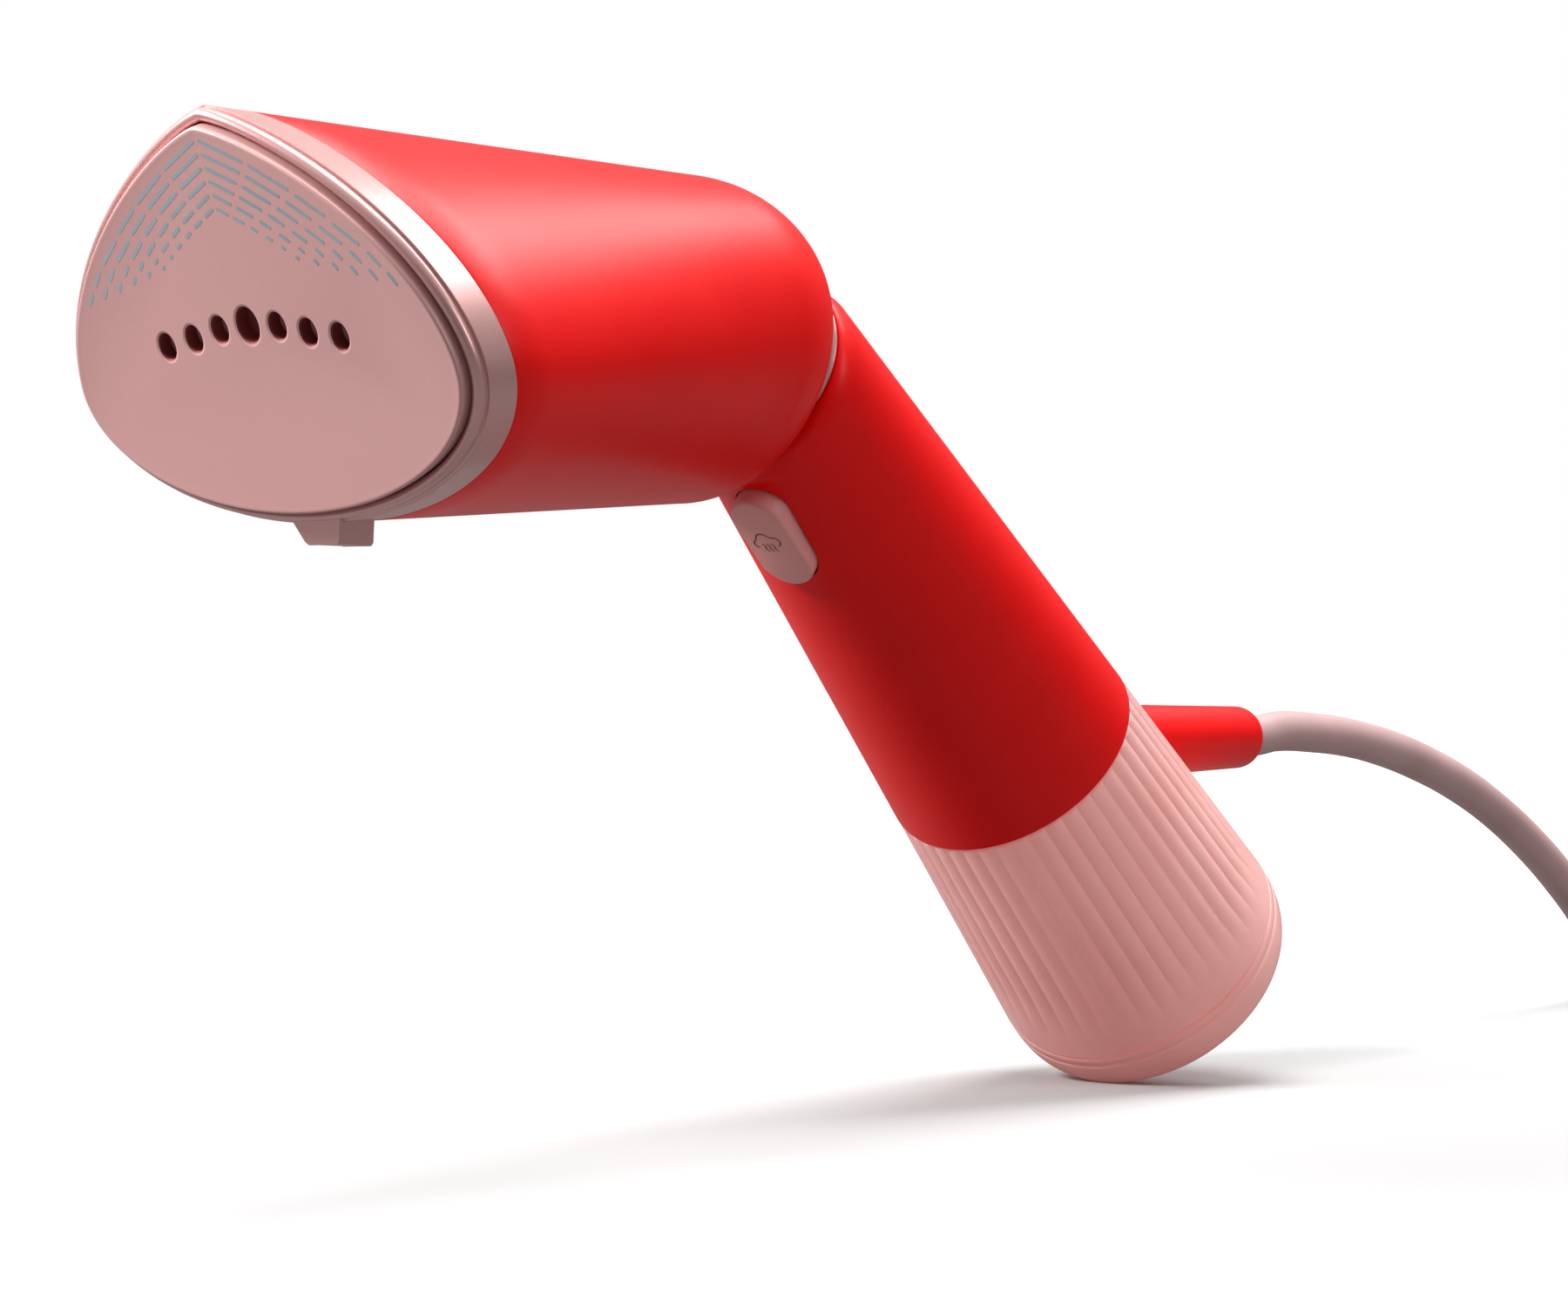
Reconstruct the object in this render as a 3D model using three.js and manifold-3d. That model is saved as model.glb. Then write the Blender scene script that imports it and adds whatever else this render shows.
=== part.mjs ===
// Handheld garment steamer with a tilting-axis swivel head, a pump handle and a clip-off water tank.
// Millimetres. Row frame: origin on the grip, +Y towards the back, +Z up, the head level and bent.
import * as THREE from 'three';
import { mergeVertices } from 'three/addons/utils/BufferGeometryUtils.js';
import Module from 'manifold-3d';

const wasm = await Module();
wasm.setup();

// ---------------------------------------------------------------- driving dimensions
const GAP = 0.3;                      // clearance between neighbouring pieces
const HANDLE_TILT = 48.45;            // degrees between the handle and the vertical
const HEAD_TILT = 90;                 // the head lies level
const SWIVEL_TILT = (HANDLE_TILT + HEAD_TILT) / 2;
const PLATE_LEAN = 22.2;              // the soleplate faces this far below the head's own axis
const GRIP_DROP = 62;                 // from the swivel centre down the handle to the grip

const CONE_TOP_RADIUS = 18.2;         // handle radius at the swivel centre
const CONE_GROWTH = 0.0726;           // added radius for each millimetre down the handle
const WALL = 2.2;                     // wall of the handle and head shells
const SHELL_END = 107;                // lower edge of the handle shell
const SPINE_END = 156;                // lower end of the cord spine behind the tank
const SPINE_HALF_WIDTH = 13;
const SPINE_FRONT = 12.5;
const SPINE_WALL = 1.8;

const PLATE_FORWARD = 131.63;         // soleplate centre in front of the swivel centre
const PLATE_RISE = -0.7;
const HEAD_RUN = 105;                 // nominal length from the bezel's front edge to the dome
const HEAD_END_FORWARD = 24;          // where the straight part of the head meets the dome
const HEAD_CENTRE_RISE = 3.4;
const FACE = { half: 43.4, top: 44.5, bottom: 24.6, centre: -9.5, depth: 3 };
const REAR = { half: 27.3, top: 29, bottom: 29 };
const DOME_RING = { radius: 14.5, offset: 4.5 };

const TANK_WALL = 2;
const TANK_NECK = 22.9;               // radius of the neck that slips into the handle shell
const TANK_TOP = 101;
const TANK_SEAM = 168;
const TANK_BOTTOM = 180.6;
const TANK_BASE_RADIUS = 30.3;
const PUMP_AXIS = 4.5;                // pump and tank outlet sit this far behind the handle axis
const BUTTON_DOWN = 23.6;             // button centre below the swivel centre
const FILL_Y = -12.5;                 // fill hole, towards the front of the tank deck

const CORD_RADIUS = 4.35;
const FLOOR = -98.1;                  // the level of the lowest point of the tank
const COIL_CENTRE = new THREE.Vector2(31.2, 383.6);
const COIL = { inner: 36.4, outer: 63, height: 16.6, lift: 1.5 };

const RADIAL = 36;                    // steps round the shells
const rad = THREE.MathUtils.degToRad;

// ---------------------------------------------------------------- frames
const swivelY = -GRIP_DROP * Math.sin(rad(HANDLE_TILT));
const swivelZ = GRIP_DROP * Math.cos(rad(HANDLE_TILT));

function frame(tilt, y = 0, z = 0) {
  const turn = new THREE.Matrix4().makeRotationX(rad(tilt));
  return new THREE.Matrix4().makeTranslation(0, y, z).multiply(turn);
}

const ROW = frame(0);
const HANDLE = frame(HANDLE_TILT, swivelY, swivelZ);
const SWIVEL = frame(SWIVEL_TILT, swivelY, swivelZ);
const HEAD = frame(HEAD_TILT, swivelY, swivelZ);
const PLATE = HEAD.clone().multiply(frame(PLATE_LEAN, PLATE_RISE, PLATE_FORWARD));
const SWIVEL_IN_HEAD = HEAD.clone().invert().multiply(SWIVEL);
const SWIVEL_IN_HANDLE = HANDLE.clone().invert().multiply(SWIVEL);
const PLATE_IN_HEAD = HEAD.clone().invert().multiply(PLATE);

// ---------------------------------------------------------------- materials
function finish(color, roughness, metalness, opacity = 1) {
  return { color, roughness, metalness, opacity, transparent: opacity < 1 };
}

const LOOK = {
  shell: finish(0xe01212, 0.42, 0),
  bezel: finish(0xd9a3a0, 0.35, 0.25),
  enamel: finish(0xc98f8d, 0.4, 0.3),
  casting: finish(0xa9acb0, 0.5, 0.9),
  steel: finish(0xb9bcc0, 0.3, 1),
  brass: finish(0xb58b3c, 0.35, 1),
  silicone: finish(0xd8d4cf, 0.6, 0),
  gasket: finish(0x5a2a2a, 0.7, 0),
  plastic: finish(0x2c2c2e, 0.55, 0),
  tank: finish(0xf0b3ae, 0.2, 0, 0.6),
  board: finish(0x1f5a34, 0.6, 0),
  copper: finish(0xa05a2c, 0.5, 0.6),
  lead: finish(0xe8e6e2, 0.5, 0),
  cord: finish(0xc79a98, 0.5, 0),
  button: finish(0xcf8f8c, 0.45, 0.1),
};

// ---------------------------------------------------------------- solid helpers
function fromPositions(positions, indices) {
  const geometry = new THREE.BufferGeometry();
  geometry.setAttribute('position', new THREE.Float32BufferAttribute(positions, 3));
  geometry.setIndex(indices);
  return geometry;
}

function signedVolume(positions, indices) {
  const corner = (k) => new THREE.Vector3().fromArray(positions, indices[k] * 3);
  let sum = 0;
  for (let k = 0; k < indices.length; k += 3) {
    sum += corner(k).dot(corner(k + 1).cross(corner(k + 2)));
  }
  return sum;
}

// Rings of equal point count are skinned in order. A closed loft joins its last ring to its first.
function loft(rings, closed = false) {
  const count = rings[0].length;
  const positions = rings.flat().flatMap((p) => [p.x, p.y, p.z]);
  const indices = [];
  const last = closed ? rings.length : rings.length - 1;
  for (let k = 0; k < last; k += 1) {
    const a = k * count;
    const b = ((k + 1) % rings.length) * count;
    for (let i = 0; i < count; i += 1) {
      const j = (i + 1) % count;
      indices.push(a + i, a + j, b + j, a + i, b + j, b + i);
    }
  }
  if (!closed) {
    for (const [ring, start, flip] of [[rings[0], 0, true], [rings.at(-1), last * count, false]]) {
      const middle = ring.reduce((m, p) => m.add(p), new THREE.Vector3()).divideScalar(count);
      const centre = positions.length / 3;
      positions.push(middle.x, middle.y, middle.z);
      for (let i = 0; i < count; i += 1) {
        const j = (i + 1) % count;
        indices.push(centre, start + (flip ? j : i), start + (flip ? i : j));
      }
    }
  }
  if (signedVolume(positions, indices) < 0) {
    indices.reverse();
  }
  return fromPositions(positions, indices);
}

function solid(geometry) {
  const bare = geometry.clone();
  bare.deleteAttribute('normal');
  bare.deleteAttribute('uv');
  const merged = mergeVertices(bare, 1e-5);
  const corners = merged.getIndex().array;
  const triangles = [];
  for (let k = 0; k < corners.length; k += 3) {
    const [a, b, c] = corners.slice(k, k + 3);
    if (a !== b && b !== c && c !== a) {
      triangles.push(a, b, c);
    }
  }
  return new wasm.Manifold(new wasm.Mesh({
    numProp: 3,
    vertProperties: new Float32Array(merged.attributes.position.array),
    triVerts: new Uint32Array(triangles),
  }));
}

function geometryOf(body) {
  const mesh = body.getMesh();
  return fromPositions([...mesh.vertProperties], [...mesh.triVerts]);
}

function join(...parts) {
  return geometryOf(parts.map(solid).reduce((whole, part) => whole.add(part)));
}

function cut(base, ...tools) {
  return geometryOf(tools.map(solid).reduce((whole, tool) => whole.subtract(tool), solid(base)));
}

function overlap(first, second) {
  return geometryOf(solid(first).intersect(solid(second)));
}

function moved(geometry, matrix) {
  return geometry.clone().applyMatrix4(matrix);
}

function shifted(geometry, x, y, z) {
  return geometry.clone().translate(x, y, z);
}

// A turned piece about Z. The profile lists [radius, height] and is closed unless it meets the axis.
function turned(profile, steps = 28) {
  const onAxis = profile[0][0] === 0 && profile.at(-1)[0] === 0;
  const points = (onAxis ? profile : [...profile, profile[0]]).map(([r, z]) => new THREE.Vector2(r, z));
  const geometry = new THREE.LatheGeometry(points, steps).rotateX(Math.PI / 2);
  return geometryOf(upright(geometry));
}

function upright(geometry) {
  const body = solid(geometry);
  if (body.volume() > 0) {
    return body;
  }
  const corners = [...geometry.getIndex().array].reverse();
  return solid(geometry.clone().setIndex(corners));
}

function rod(radius, low, high, steps = 20) {
  return turned([[0, low], [radius, low], [radius, high], [0, high]], steps);
}

function sleeve(inner, outer, low, high, steps = 28) {
  return turned([[inner, low], [outer, low], [outer, high], [inner, high]], steps);
}

function block([x0, x1], [y0, y1], [z0, z1]) {
  const geometry = new THREE.BoxGeometry(x1 - x0, y1 - y0, z1 - z0);
  return geometry.translate((x0 + x1) / 2, (y0 + y1) / 2, (z0 + z1) / 2);
}

function circleShape(radius, steps = 10) {
  const shape = new THREE.Shape();
  for (let k = 0; k < steps; k += 1) {
    const angle = (k / steps) * Math.PI * 2;
    shape[k ? 'lineTo' : 'moveTo'](radius * Math.cos(angle), radius * Math.sin(angle));
  }
  return shape;
}

function along(points, radius, bore = 0, steps = points.length * 3, sides = 10) {
  const shape = circleShape(radius, sides);
  if (bore > 0) {
    shape.holes.push(circleShape(bore, sides));
  }
  const extrudePath = new THREE.CatmullRomCurve3(points.map((p) => new THREE.Vector3(...p)));
  return new THREE.ExtrudeGeometry(shape, { steps, extrudePath, curveSegments: 1 });
}

function capsuleShape(width, length) {
  const r = width / 2;
  const straight = length / 2 - r;
  const shape = new THREE.Shape();
  shape.absarc(0, straight, r, 0, Math.PI, false);
  shape.absarc(0, -straight, r, Math.PI, Math.PI * 2, false);
  return shape;
}

function slab(shape, low, high, segments = 10) {
  const geometry = new THREE.ExtrudeGeometry(shape, {
    depth: high - low, bevelEnabled: false, curveSegments: segments,
  });
  return geometry.translate(0, 0, low);
}

function helix(radius, wire, low, high, turns) {
  const points = [];
  const perTurn = 8;
  for (let k = 0; k <= turns * perTurn; k += 1) {
    const angle = (k / perTurn) * Math.PI * 2;
    const z = low + wire + (high - low - 2 * wire) * (k / (turns * perTurn));
    points.push([radius * Math.cos(angle), radius * Math.sin(angle), z]);
  }
  return along(points, wire, 0, turns * perTurn, 5);
}

const group = new THREE.Group();

function add(name, geometry, look, placement) {
  const mesh = new THREE.Mesh(geometry, new THREE.MeshStandardMaterial(LOOK[look]));
  mesh.name = name;
  mesh.applyMatrix4(placement);
  group.add(mesh);
}

// ---------------------------------------------------------------- head outline
// The soleplate's drop shape: a pointed upper half and an elliptical lower half.
function dropPoint(angle, size, inset) {
  const c = Math.cos(angle);
  const s = Math.sin(angle);
  const half = size.half - inset;
  if (s < 0) {
    return new THREE.Vector2(half * c, (size.bottom - inset) * s);
  }
  const x = half * Math.sign(c) * Math.abs(c) ** 1.575;
  return new THREE.Vector2(x, (size.top - 1.1 * inset) * s ** 1.11);
}

function ringOf(pointAt, count = RADIAL) {
  return Array.from({ length: count }, (_, k) => pointAt((k / count) * Math.PI * 2));
}

// A point of the head's skin. back runs from the bezel's front edge towards the dome.
function headPoint(angle, inset, back) {
  const t = Math.max(back, 0) / HEAD_RUN;
  const face = dropPoint(angle, FACE, inset);
  const front = new THREE.Vector3(face.x, face.y + FACE.centre, -FACE.depth - Math.min(back, 0));
  front.applyMatrix4(PLATE_IN_HEAD);
  const rise = (Math.sin(angle) > 0 ? REAR.top : REAR.bottom) - inset;
  const rear = new THREE.Vector3(
    (REAR.half - inset) * Math.cos(angle),
    HEAD_CENTRE_RISE + rise * Math.sin(angle),
    HEAD_END_FORWARD,
  );
  return front.lerp(rear, t);
}

const headRing = (inset, back) => ringOf((angle) => headPoint(angle, inset, back));

function swivelRingInHead(radius, offset) {
  return ringOf((angle) => new THREE.Vector3(radius * Math.cos(angle), radius * Math.sin(angle), offset)
    .applyMatrix4(SWIVEL_IN_HEAD));
}

// From the straight part's last ring the dome closes in on the swivel ring along a quarter oval.
function domeRings(inset, endRadius, endOffset, steps = 6) {
  const start = headRing(inset, HEAD_RUN);
  const end = swivelRingInHead(endRadius, endOffset);
  return Array.from({ length: steps }, (_, k) => {
    const angle = ((k + 1) / steps) * (Math.PI / 2);
    const inward = 1 - Math.cos(angle);
    const rearward = Math.sin(angle);
    return start.map((p, i) => new THREE.Vector3(
      p.x + (end[i].x - p.x) * inward,
      p.y + (end[i].y - p.y) * inward,
      p.z + (end[i].z - p.z) * rearward,
    ));
  });
}

// The same outline in flat sections parallel to the soleplate, for what lies inside the head.
function plateRing(inset, depth, count = RADIAL) {
  const back = Math.max(depth - FACE.depth, 0);
  const shrink = (back / HEAD_RUN) * (FACE.half - REAR.half);
  const drop = back * Math.tan(rad(PLATE_LEAN));
  return ringOf((angle) => {
    const p = dropPoint(angle, FACE, inset + shrink);
    return new THREE.Vector3(p.x, p.y + FACE.centre - drop, -depth);
  }, count);
}

// ---------------------------------------------------------------- head: outside
function headShell() {
  const lip = { radius: 10.4, thickness: 2.4 };
  const backs = [9 + GAP, 40, 72, HEAD_RUN];
  const outer = [...backs.map((b) => headRing(0, b)), ...domeRings(0, DOME_RING.radius, DOME_RING.offset)];
  const inner = [
    ...backs.map((b) => headRing(WALL, b)),
    ...domeRings(WALL, lip.radius, DOME_RING.offset + lip.thickness, 4),
    swivelRingInHead(lip.radius, DOME_RING.offset),
  ];
  return loft([...outer, ...inner.reverse()], true);
}

function frontBezel() {
  const profile = [
    [2.3, -1.1], [1.7, -1.4], [0.9, -1.2], [0.3, -0.6], [0, 0.4], [0, 9],
    [WALL + 0.4, 9], [WALL + 0.4, 13], [4.2, 13], [4.2, 4.2], [6.4, 4.2], [6.4, 2.2], [2.3, 2.2],
  ];
  const band = loft(profile.map(([inset, back]) => headRing(inset, back)), true);
  return join(band, lug());
}

// The clip foot under the bezel that an accessory brush hooks on to.
function lug() {
  const top = { half: 5.2, rise: -33.2 };
  const bottom = { half: 3.2, rise: -37.8 };
  const section = (depth, drop) => [
    new THREE.Vector3(-top.half, top.rise - drop, -depth),
    new THREE.Vector3(top.half, top.rise - drop, -depth),
    new THREE.Vector3(bottom.half, bottom.rise - drop, -depth),
    new THREE.Vector3(-bottom.half, bottom.rise - drop, -depth),
  ];
  const length = 7.5;
  const foot = loft([section(FACE.depth, 0), section(FACE.depth + length, length * 0.41)]);
  return moved(foot, PLATE_IN_HEAD);
}

function soleplate() {
  const rings = [plateRing(3.7, 0), plateRing(2.95, 0.3), plateRing(2.6, 1), plateRing(2.6, 3.2)];
  const drills = steamHoles().map(([x, y, halfWidth, halfHeight]) => {
    const oval = (grow, depth) => ringOf((angle) => new THREE.Vector3(
      x + (halfWidth + grow) * Math.cos(angle), y + (halfHeight + grow) * Math.sin(angle), -depth,
    ), 12);
    return loft([oval(0.5, -0.2), oval(0.5, 0.01), oval(0, 0.5), oval(0, 4)]);
  });
  return cut(loft(rings), ...drills);
}

function steamHoles() {
  const pairs = [[6.23, -0.43], [12.37, -1.7], [18.69, -2.73]];
  const holes = [[0, 0, 2.2, 2.95]];
  for (const [x, y] of pairs) {
    holes.push([x, y, 1.65, 2.2], [-x, y, 1.65, 2.2]);
  }
  return holes;
}

function plateGasket() {
  return loft([plateRing(2.9, 3.5), plateRing(6, 3.5), plateRing(6, 4.5), plateRing(2.9, 4.5)], true);
}

// ---------------------------------------------------------------- head: steam works
const CHAMBER = { inset: 7.2, front: 3.5, back: 22, wall: 3 };
const INLET = { x: 0, y: -24 };
const CLAMP_SCREWS = [[0, -12.5], [22, -16], [-22, -16]];
const PIN = { x: 8, y: -29, radius: 1.3, end: 36 };

function steamChamber() {
  const { inset, front, back, wall } = CHAMBER;
  const body = loft([plateRing(inset, front), plateRing(inset, back)]);
  const room = loft([plateRing(inset + wall, front - 1), plateRing(inset + wall, back - wall)]);
  const shell = cut(body, room);
  const ribs = [-14, 0, 14].map((x) => block([x - 1, x + 1], [-24, x ? 2 : 10], [-back + 1, -front - 1]));
  const pipe = shifted(rod(2.5, -back - 1, -back + wall + 1), INLET.x, INLET.y, 0);
  const screwHoles = CLAMP_SCREWS.map(([x, y]) => shifted(rod(1.8, -back - 1, -back + 2.1), x, y, 0));
  return cut(join(shell, ...ribs), pipe, ...screwHoles);
}

function heatingElement() {
  const loop = [
    [-8, -29], [-14, -22], [-15.5, -12], [-9.5, -2], [0, 2], [9.5, -2], [15.5, -12], [14, -22], [8, -29],
  ];
  const depth = -CHAMBER.back - GAP - 3.3;
  const tube = along(loop.map(([x, y]) => [x, y, depth]), 3.2, 0, 22, 10);
  const pins = [-PIN.x, PIN.x].map((x) => shifted(rod(PIN.radius, -PIN.end, depth, 10), x, PIN.y + 0.4, 0));
  return join(tube, ...pins);
}

function elementClamp() {
  const low = 29.1;
  const plate = loft([plateRing(10, low), plateRing(10, low + 1.5)]);
  const holes = [
    ...CLAMP_SCREWS.map(([x, y]) => shifted(rod(1.8, -40, -20), x, y, 0)),
    ...[-PIN.x, PIN.x].map((x) => shifted(rod(2.4, -40, -20), x, PIN.y + 0.4, 0)),
    shifted(rod(2.7, -40, -20), INLET.x, INLET.y, 0),
  ];
  return cut(plate, ...holes);
}

function clampScrew() {
  const profile = [[0, -20.4], [1.5, -20.4], [1.5, -30.9], [2.8, -30.9], [2.8, -32.4], [1.6, -33], [0, -33]];
  return turned(profile, 16);
}

function inletNozzle() {
  return shifted(sleeve(1.2, 2.1, -40, -20, 16), INLET.x, INLET.y, 0);
}

function thermostat() {
  const can = turned([[0, -30.9], [7.5, -30.9], [7.5, -36], [5.6, -37.5], [5.6, -40], [0, -40]], 28);
  const tabs = [-3.4, 3.4].map((x) => block([x - 0.4, x + 0.4], [-2.5, 2.5], [-46, -39]));
  return shifted(join(can, ...tabs), 0, -1, 0);
}

function thermalFuse() {
  const barrel = rod(2, -6, 6, 14).rotateX(Math.PI / 2);
  return shifted(barrel, 15.8, -25, -33);
}

function chamberCarrier() {
  const profile = [[WALL + 0.4, 13.4], [6, 13.4], [6, 16], [WALL + 0.4, 16]];
  return loft(profile.map(([inset, back]) => headRing(inset, back)), true);
}

// Points given in the soleplate's frame or the swivel's frame, brought into the head's frame.
const fromPlate = (x, y, z) => new THREE.Vector3(x, y, z).applyMatrix4(PLATE_IN_HEAD).toArray();
const fromSwivel = (x, y, z) => new THREE.Vector3(x, y, z).applyMatrix4(SWIVEL_IN_HEAD).toArray();

function steamHose() {
  return along([
    fromSwivel(0, 0, 0.8), fromSwivel(0, 0, 8), fromSwivel(0, 0, 15), [0, 6, 34], [0, -1, 62],
    fromPlate(INLET.x, INLET.y, -44), fromPlate(INLET.x, INLET.y, -35),
  ], 3.4, 2.6, 14, 8);
}

function headLead(side) {
  return along([
    fromSwivel(side * 4.9, 0, 0.8), fromSwivel(side * 4.9, 0, 9), fromSwivel(side * 5.2, 0, 17),
    [side * 9, 4, 45],
    fromPlate(side * PIN.x, PIN.y + 0.4, -PIN.end - 12), fromPlate(side * PIN.x, PIN.y + 0.4, -PIN.end - GAP),
  ], 0.9, 0, 18, 8);
}

// ---------------------------------------------------------------- swivel
const SHAFT = { radius: 8.9, bore: 6.8, low: -11.8, flange: 8.6, flangeRadius: 12 };
const STOP = { radius: 11.5, pin: 1.1, slot: 1.45, start: -96, end: 96 };

function swivelRing() {
  const ring = turned([[9.3, 0.3], [17, 0.3], [17, 0.9], [16.4, 2.4], [15.3, 4.2], [9.3, 4.2]], 40);
  return cut(ring, shifted(rod(STOP.pin + 0.25, -1, 3), STOP.radius, 0, 0));
}

function swivelShaft() {
  const { radius, bore, low, flange, flangeRadius } = SHAFT;
  return turned([
    [bore, low], [radius, low], [radius, low + 1.3], [radius - 0.9, low + 1.3], [radius - 0.9, low + 2.9],
    [radius, low + 2.9], [radius, flange], [flangeRadius, flange], [flangeRadius, flange + 2],
    [bore, flange + 2],
  ], 32);
}

function retainerClip() {
  const ring = sleeve(SHAFT.radius - 0.7, 11.8, SHAFT.low + 1.5, SHAFT.low + 2.7);
  return cut(ring, block([-2.5, 2.5], [-14, -5], [-12, -8]));
}

function waveWasher() {
  return sleeve(SHAFT.radius + 0.3, 12, -8.6, -7.9);
}

function stopPin() {
  return shifted(rod(STOP.pin, -6.6, 2.6, 14), STOP.radius, 0, 0);
}

function swivelBearing() {
  const disc = overlap(
    moved(coneSolid(WALL + GAP, -12, 30), SWIVEL_IN_HANDLE.clone().invert()),
    block([-30, 30], [-30, 30], [-7.5, -4]),
  );
  const slotShape = new THREE.Shape();
  slotShape.absarc(0, 0, STOP.radius + STOP.slot, rad(STOP.start), rad(STOP.end), false);
  slotShape.absarc(0, 0, STOP.radius - STOP.slot, rad(STOP.end), rad(STOP.start), true);
  const slot = slab(slotShape, -9, -2, 20).rotateZ(Math.PI / 2);
  const buttonRoom = moved(block([-8, 8], [-30, -11.6], [-30, 0]), SWIVEL_IN_HANDLE.clone().invert());
  return cut(disc, rod(SHAFT.radius + GAP, -12, 0, 32), slot, buttonRoom);
}

// ---------------------------------------------------------------- handle shell
const coneRadius = (down) => CONE_TOP_RADIUS + CONE_GROWTH * down;

function conePoint(angle, down, inset = 0) {
  const r = coneRadius(down) - inset;
  return new THREE.Vector3(r * Math.cos(angle), r * Math.sin(angle), -down);
}

function coneSolid(inset, top, bottom) {
  return loft([top, bottom].map((down) => ringOf((angle) => conePoint(angle, down, inset))));
}

// Distance down the handle at which the cone meets a plane lying below the swivel plane.
function downAtPlane(angle, below, inset) {
  const lean = rad(SWIVEL_TILT - HANDLE_TILT);
  const across = Math.sin(lean) * Math.sin(angle);
  return (below - (CONE_TOP_RADIUS - inset) * across) / (Math.cos(lean) + CONE_GROWTH * across);
}

function collarRings(edgeRadius, inset, roundTo) {
  const steps = 5;
  const low = ringOf((angle) => conePoint(angle, downAtPlane(angle, roundTo, inset), inset));
  const edge = ringOf((angle) => new THREE.Vector3(
    edgeRadius * Math.cos(angle), edgeRadius * Math.sin(angle), 0,
  ).applyMatrix4(SWIVEL_IN_HANDLE));
  const axis = new THREE.Vector3(0, 0, 1).transformDirection(SWIVEL_IN_HANDLE);
  return Array.from({ length: steps + 1 }, (_, k) => {
    const angle = (k / steps) * (Math.PI / 2);
    return edge.map((p, i) => {
      const step = low[i].clone().sub(p);
      const down = axis.clone().multiplyScalar(step.dot(axis));
      const across = step.sub(down);
      return p.clone().addScaledVector(across, Math.sin(angle)).addScaledVector(down, 1 - Math.cos(angle));
    });
  });
}

function tube() {
  const downs = [30, 68, SHELL_END];
  const level = (inset) => downs.map((down) => ringOf((angle) => conePoint(angle, down, inset)));
  const outer = [...collarRings(17, 0, 4.5), ...level(0)];
  const inner = [...collarRings(14.8, WALL, 4.5), ...level(WALL)];
  return loft([...outer, ...inner.reverse()], true);
}

function handleShell() {
  const w = SPINE_HALF_WIDTH;
  const spine = overlap(
    coneSolid(0, TANK_TOP, SPINE_END),
    block([-w, w], [SPINE_FRONT, 40], [-SPINE_END, -TANK_TOP]),
  );
  const channel = overlap(
    coneSolid(WALL, 90, SPINE_END),
    block([-w + WALL, w - WALL], [SPINE_FRONT + SPINE_WALL, 40], [-SPINE_END + WALL, -90]),
  );
  const buttonHole = slab(capsuleShape(11.6, 22.6), 10, 30).rotateX(Math.PI / 2);
  return cut(join(tube(), spine), channel, shifted(buttonHole, 0, 0, -BUTTON_DOWN), reliefBore(5.9));
}

// ---------------------------------------------------------------- strain relief
// The relief leaves level and straight back, which is a steep slant in the handle's own frame.
const RELIEF = { down: 137.9, length: 46.7, base: 7.4, tip: 6.6, neck: 5.6, inside: 9 };
const RELIEF_FRAME = frame(-HEAD_TILT - HANDLE_TILT, coneRadius(RELIEF.down), -RELIEF.down);

function reliefBore(radius) {
  return moved(rod(radius, -RELIEF.inside - 4, 14), RELIEF_FRAME);
}

function strainRelief() {
  const { length, base, tip, neck, inside } = RELIEF;
  const body = turned([
    [0, -20], [base, -20], [base, 8], [tip, length - 2.6], [tip - 0.3, length - 1.3], [tip - 1, length - 0.4],
    [tip - 2.1, length], [0, length],
  ], 32);
  const outside = cut(moved(body, RELIEF_FRAME), coneSolid(-GAP, 90, SPINE_END + 40));
  const throat = moved(rod(neck, -inside, 12), RELIEF_FRAME);
  const bore = moved(rod(CORD_RADIUS + GAP, -30, length + 5), RELIEF_FRAME);
  return cut(join(outside, throat), bore);
}

// ---------------------------------------------------------------- handle: controls
function steamButton() {
  const face = 22.3;
  const cap = join(
    slab(capsuleShape(11, 22), 14, face - 0.6),
    slab(capsuleShape(10, 21), face - 1, face),
    slab(capsuleShape(13, 24), 13.7, 15.2),
    rod(2.2, 7.3, 14, 16),
  );
  return shifted(cap.rotateX(Math.PI / 2), 0, 0, -BUTTON_DOWN);
}

function buttonSpring() {
  return shifted(helix(3.4, 0.4, 7.8, 13.4, 4).rotateX(Math.PI / 2), 0, 0, -BUTTON_DOWN);
}

function switchCarrier() {
  const plate = block([-8, 8], [-7.5, -6], [-34, -15.2]);
  return cut(plate, shifted(rod(2.6, 3, 10).rotateX(Math.PI / 2), 0, 0, -BUTTON_DOWN));
}

function microSwitch() {
  const body = block([-3.2, 3.2], [-5.7, 0.8], [-30, -17.2]);
  return cut(body, shifted(rod(1.5, 2.6, 8, 14).rotateX(Math.PI / 2), 0, 0, -BUTTON_DOWN));
}

function switchPlunger() {
  return shifted(rod(1.2, 4.3, 7, 14).rotateX(Math.PI / 2), 0, 0, -BUTTON_DOWN);
}

function controlBoard() {
  const board = block([-11, 11], [-14.6, -13], [-78, -40]);
  const relay = block([-9, 1], [-13.4, -8.2], [-58, -46]);
  const capacitor = shifted(rod(3, 0, 11, 18), 6, -10.2, -58);
  const driver = block([-8, 8], [-13.4, -10.7], [-73, -63]);
  return join(board, relay, capacitor, driver);
}

// ---------------------------------------------------------------- handle: pump and plumbing
function pumpBody() {
  return shifted(turned([
    [1, -84], [1.8, -84], [1.8, -76], [5.2, -76], [5.2, -38], [1.8, -38], [1.8, -31], [1, -31],
    [1, -40], [4, -40], [4, -72], [1, -72],
  ], 24), 0, PUMP_AXIS, 0);
}

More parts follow.
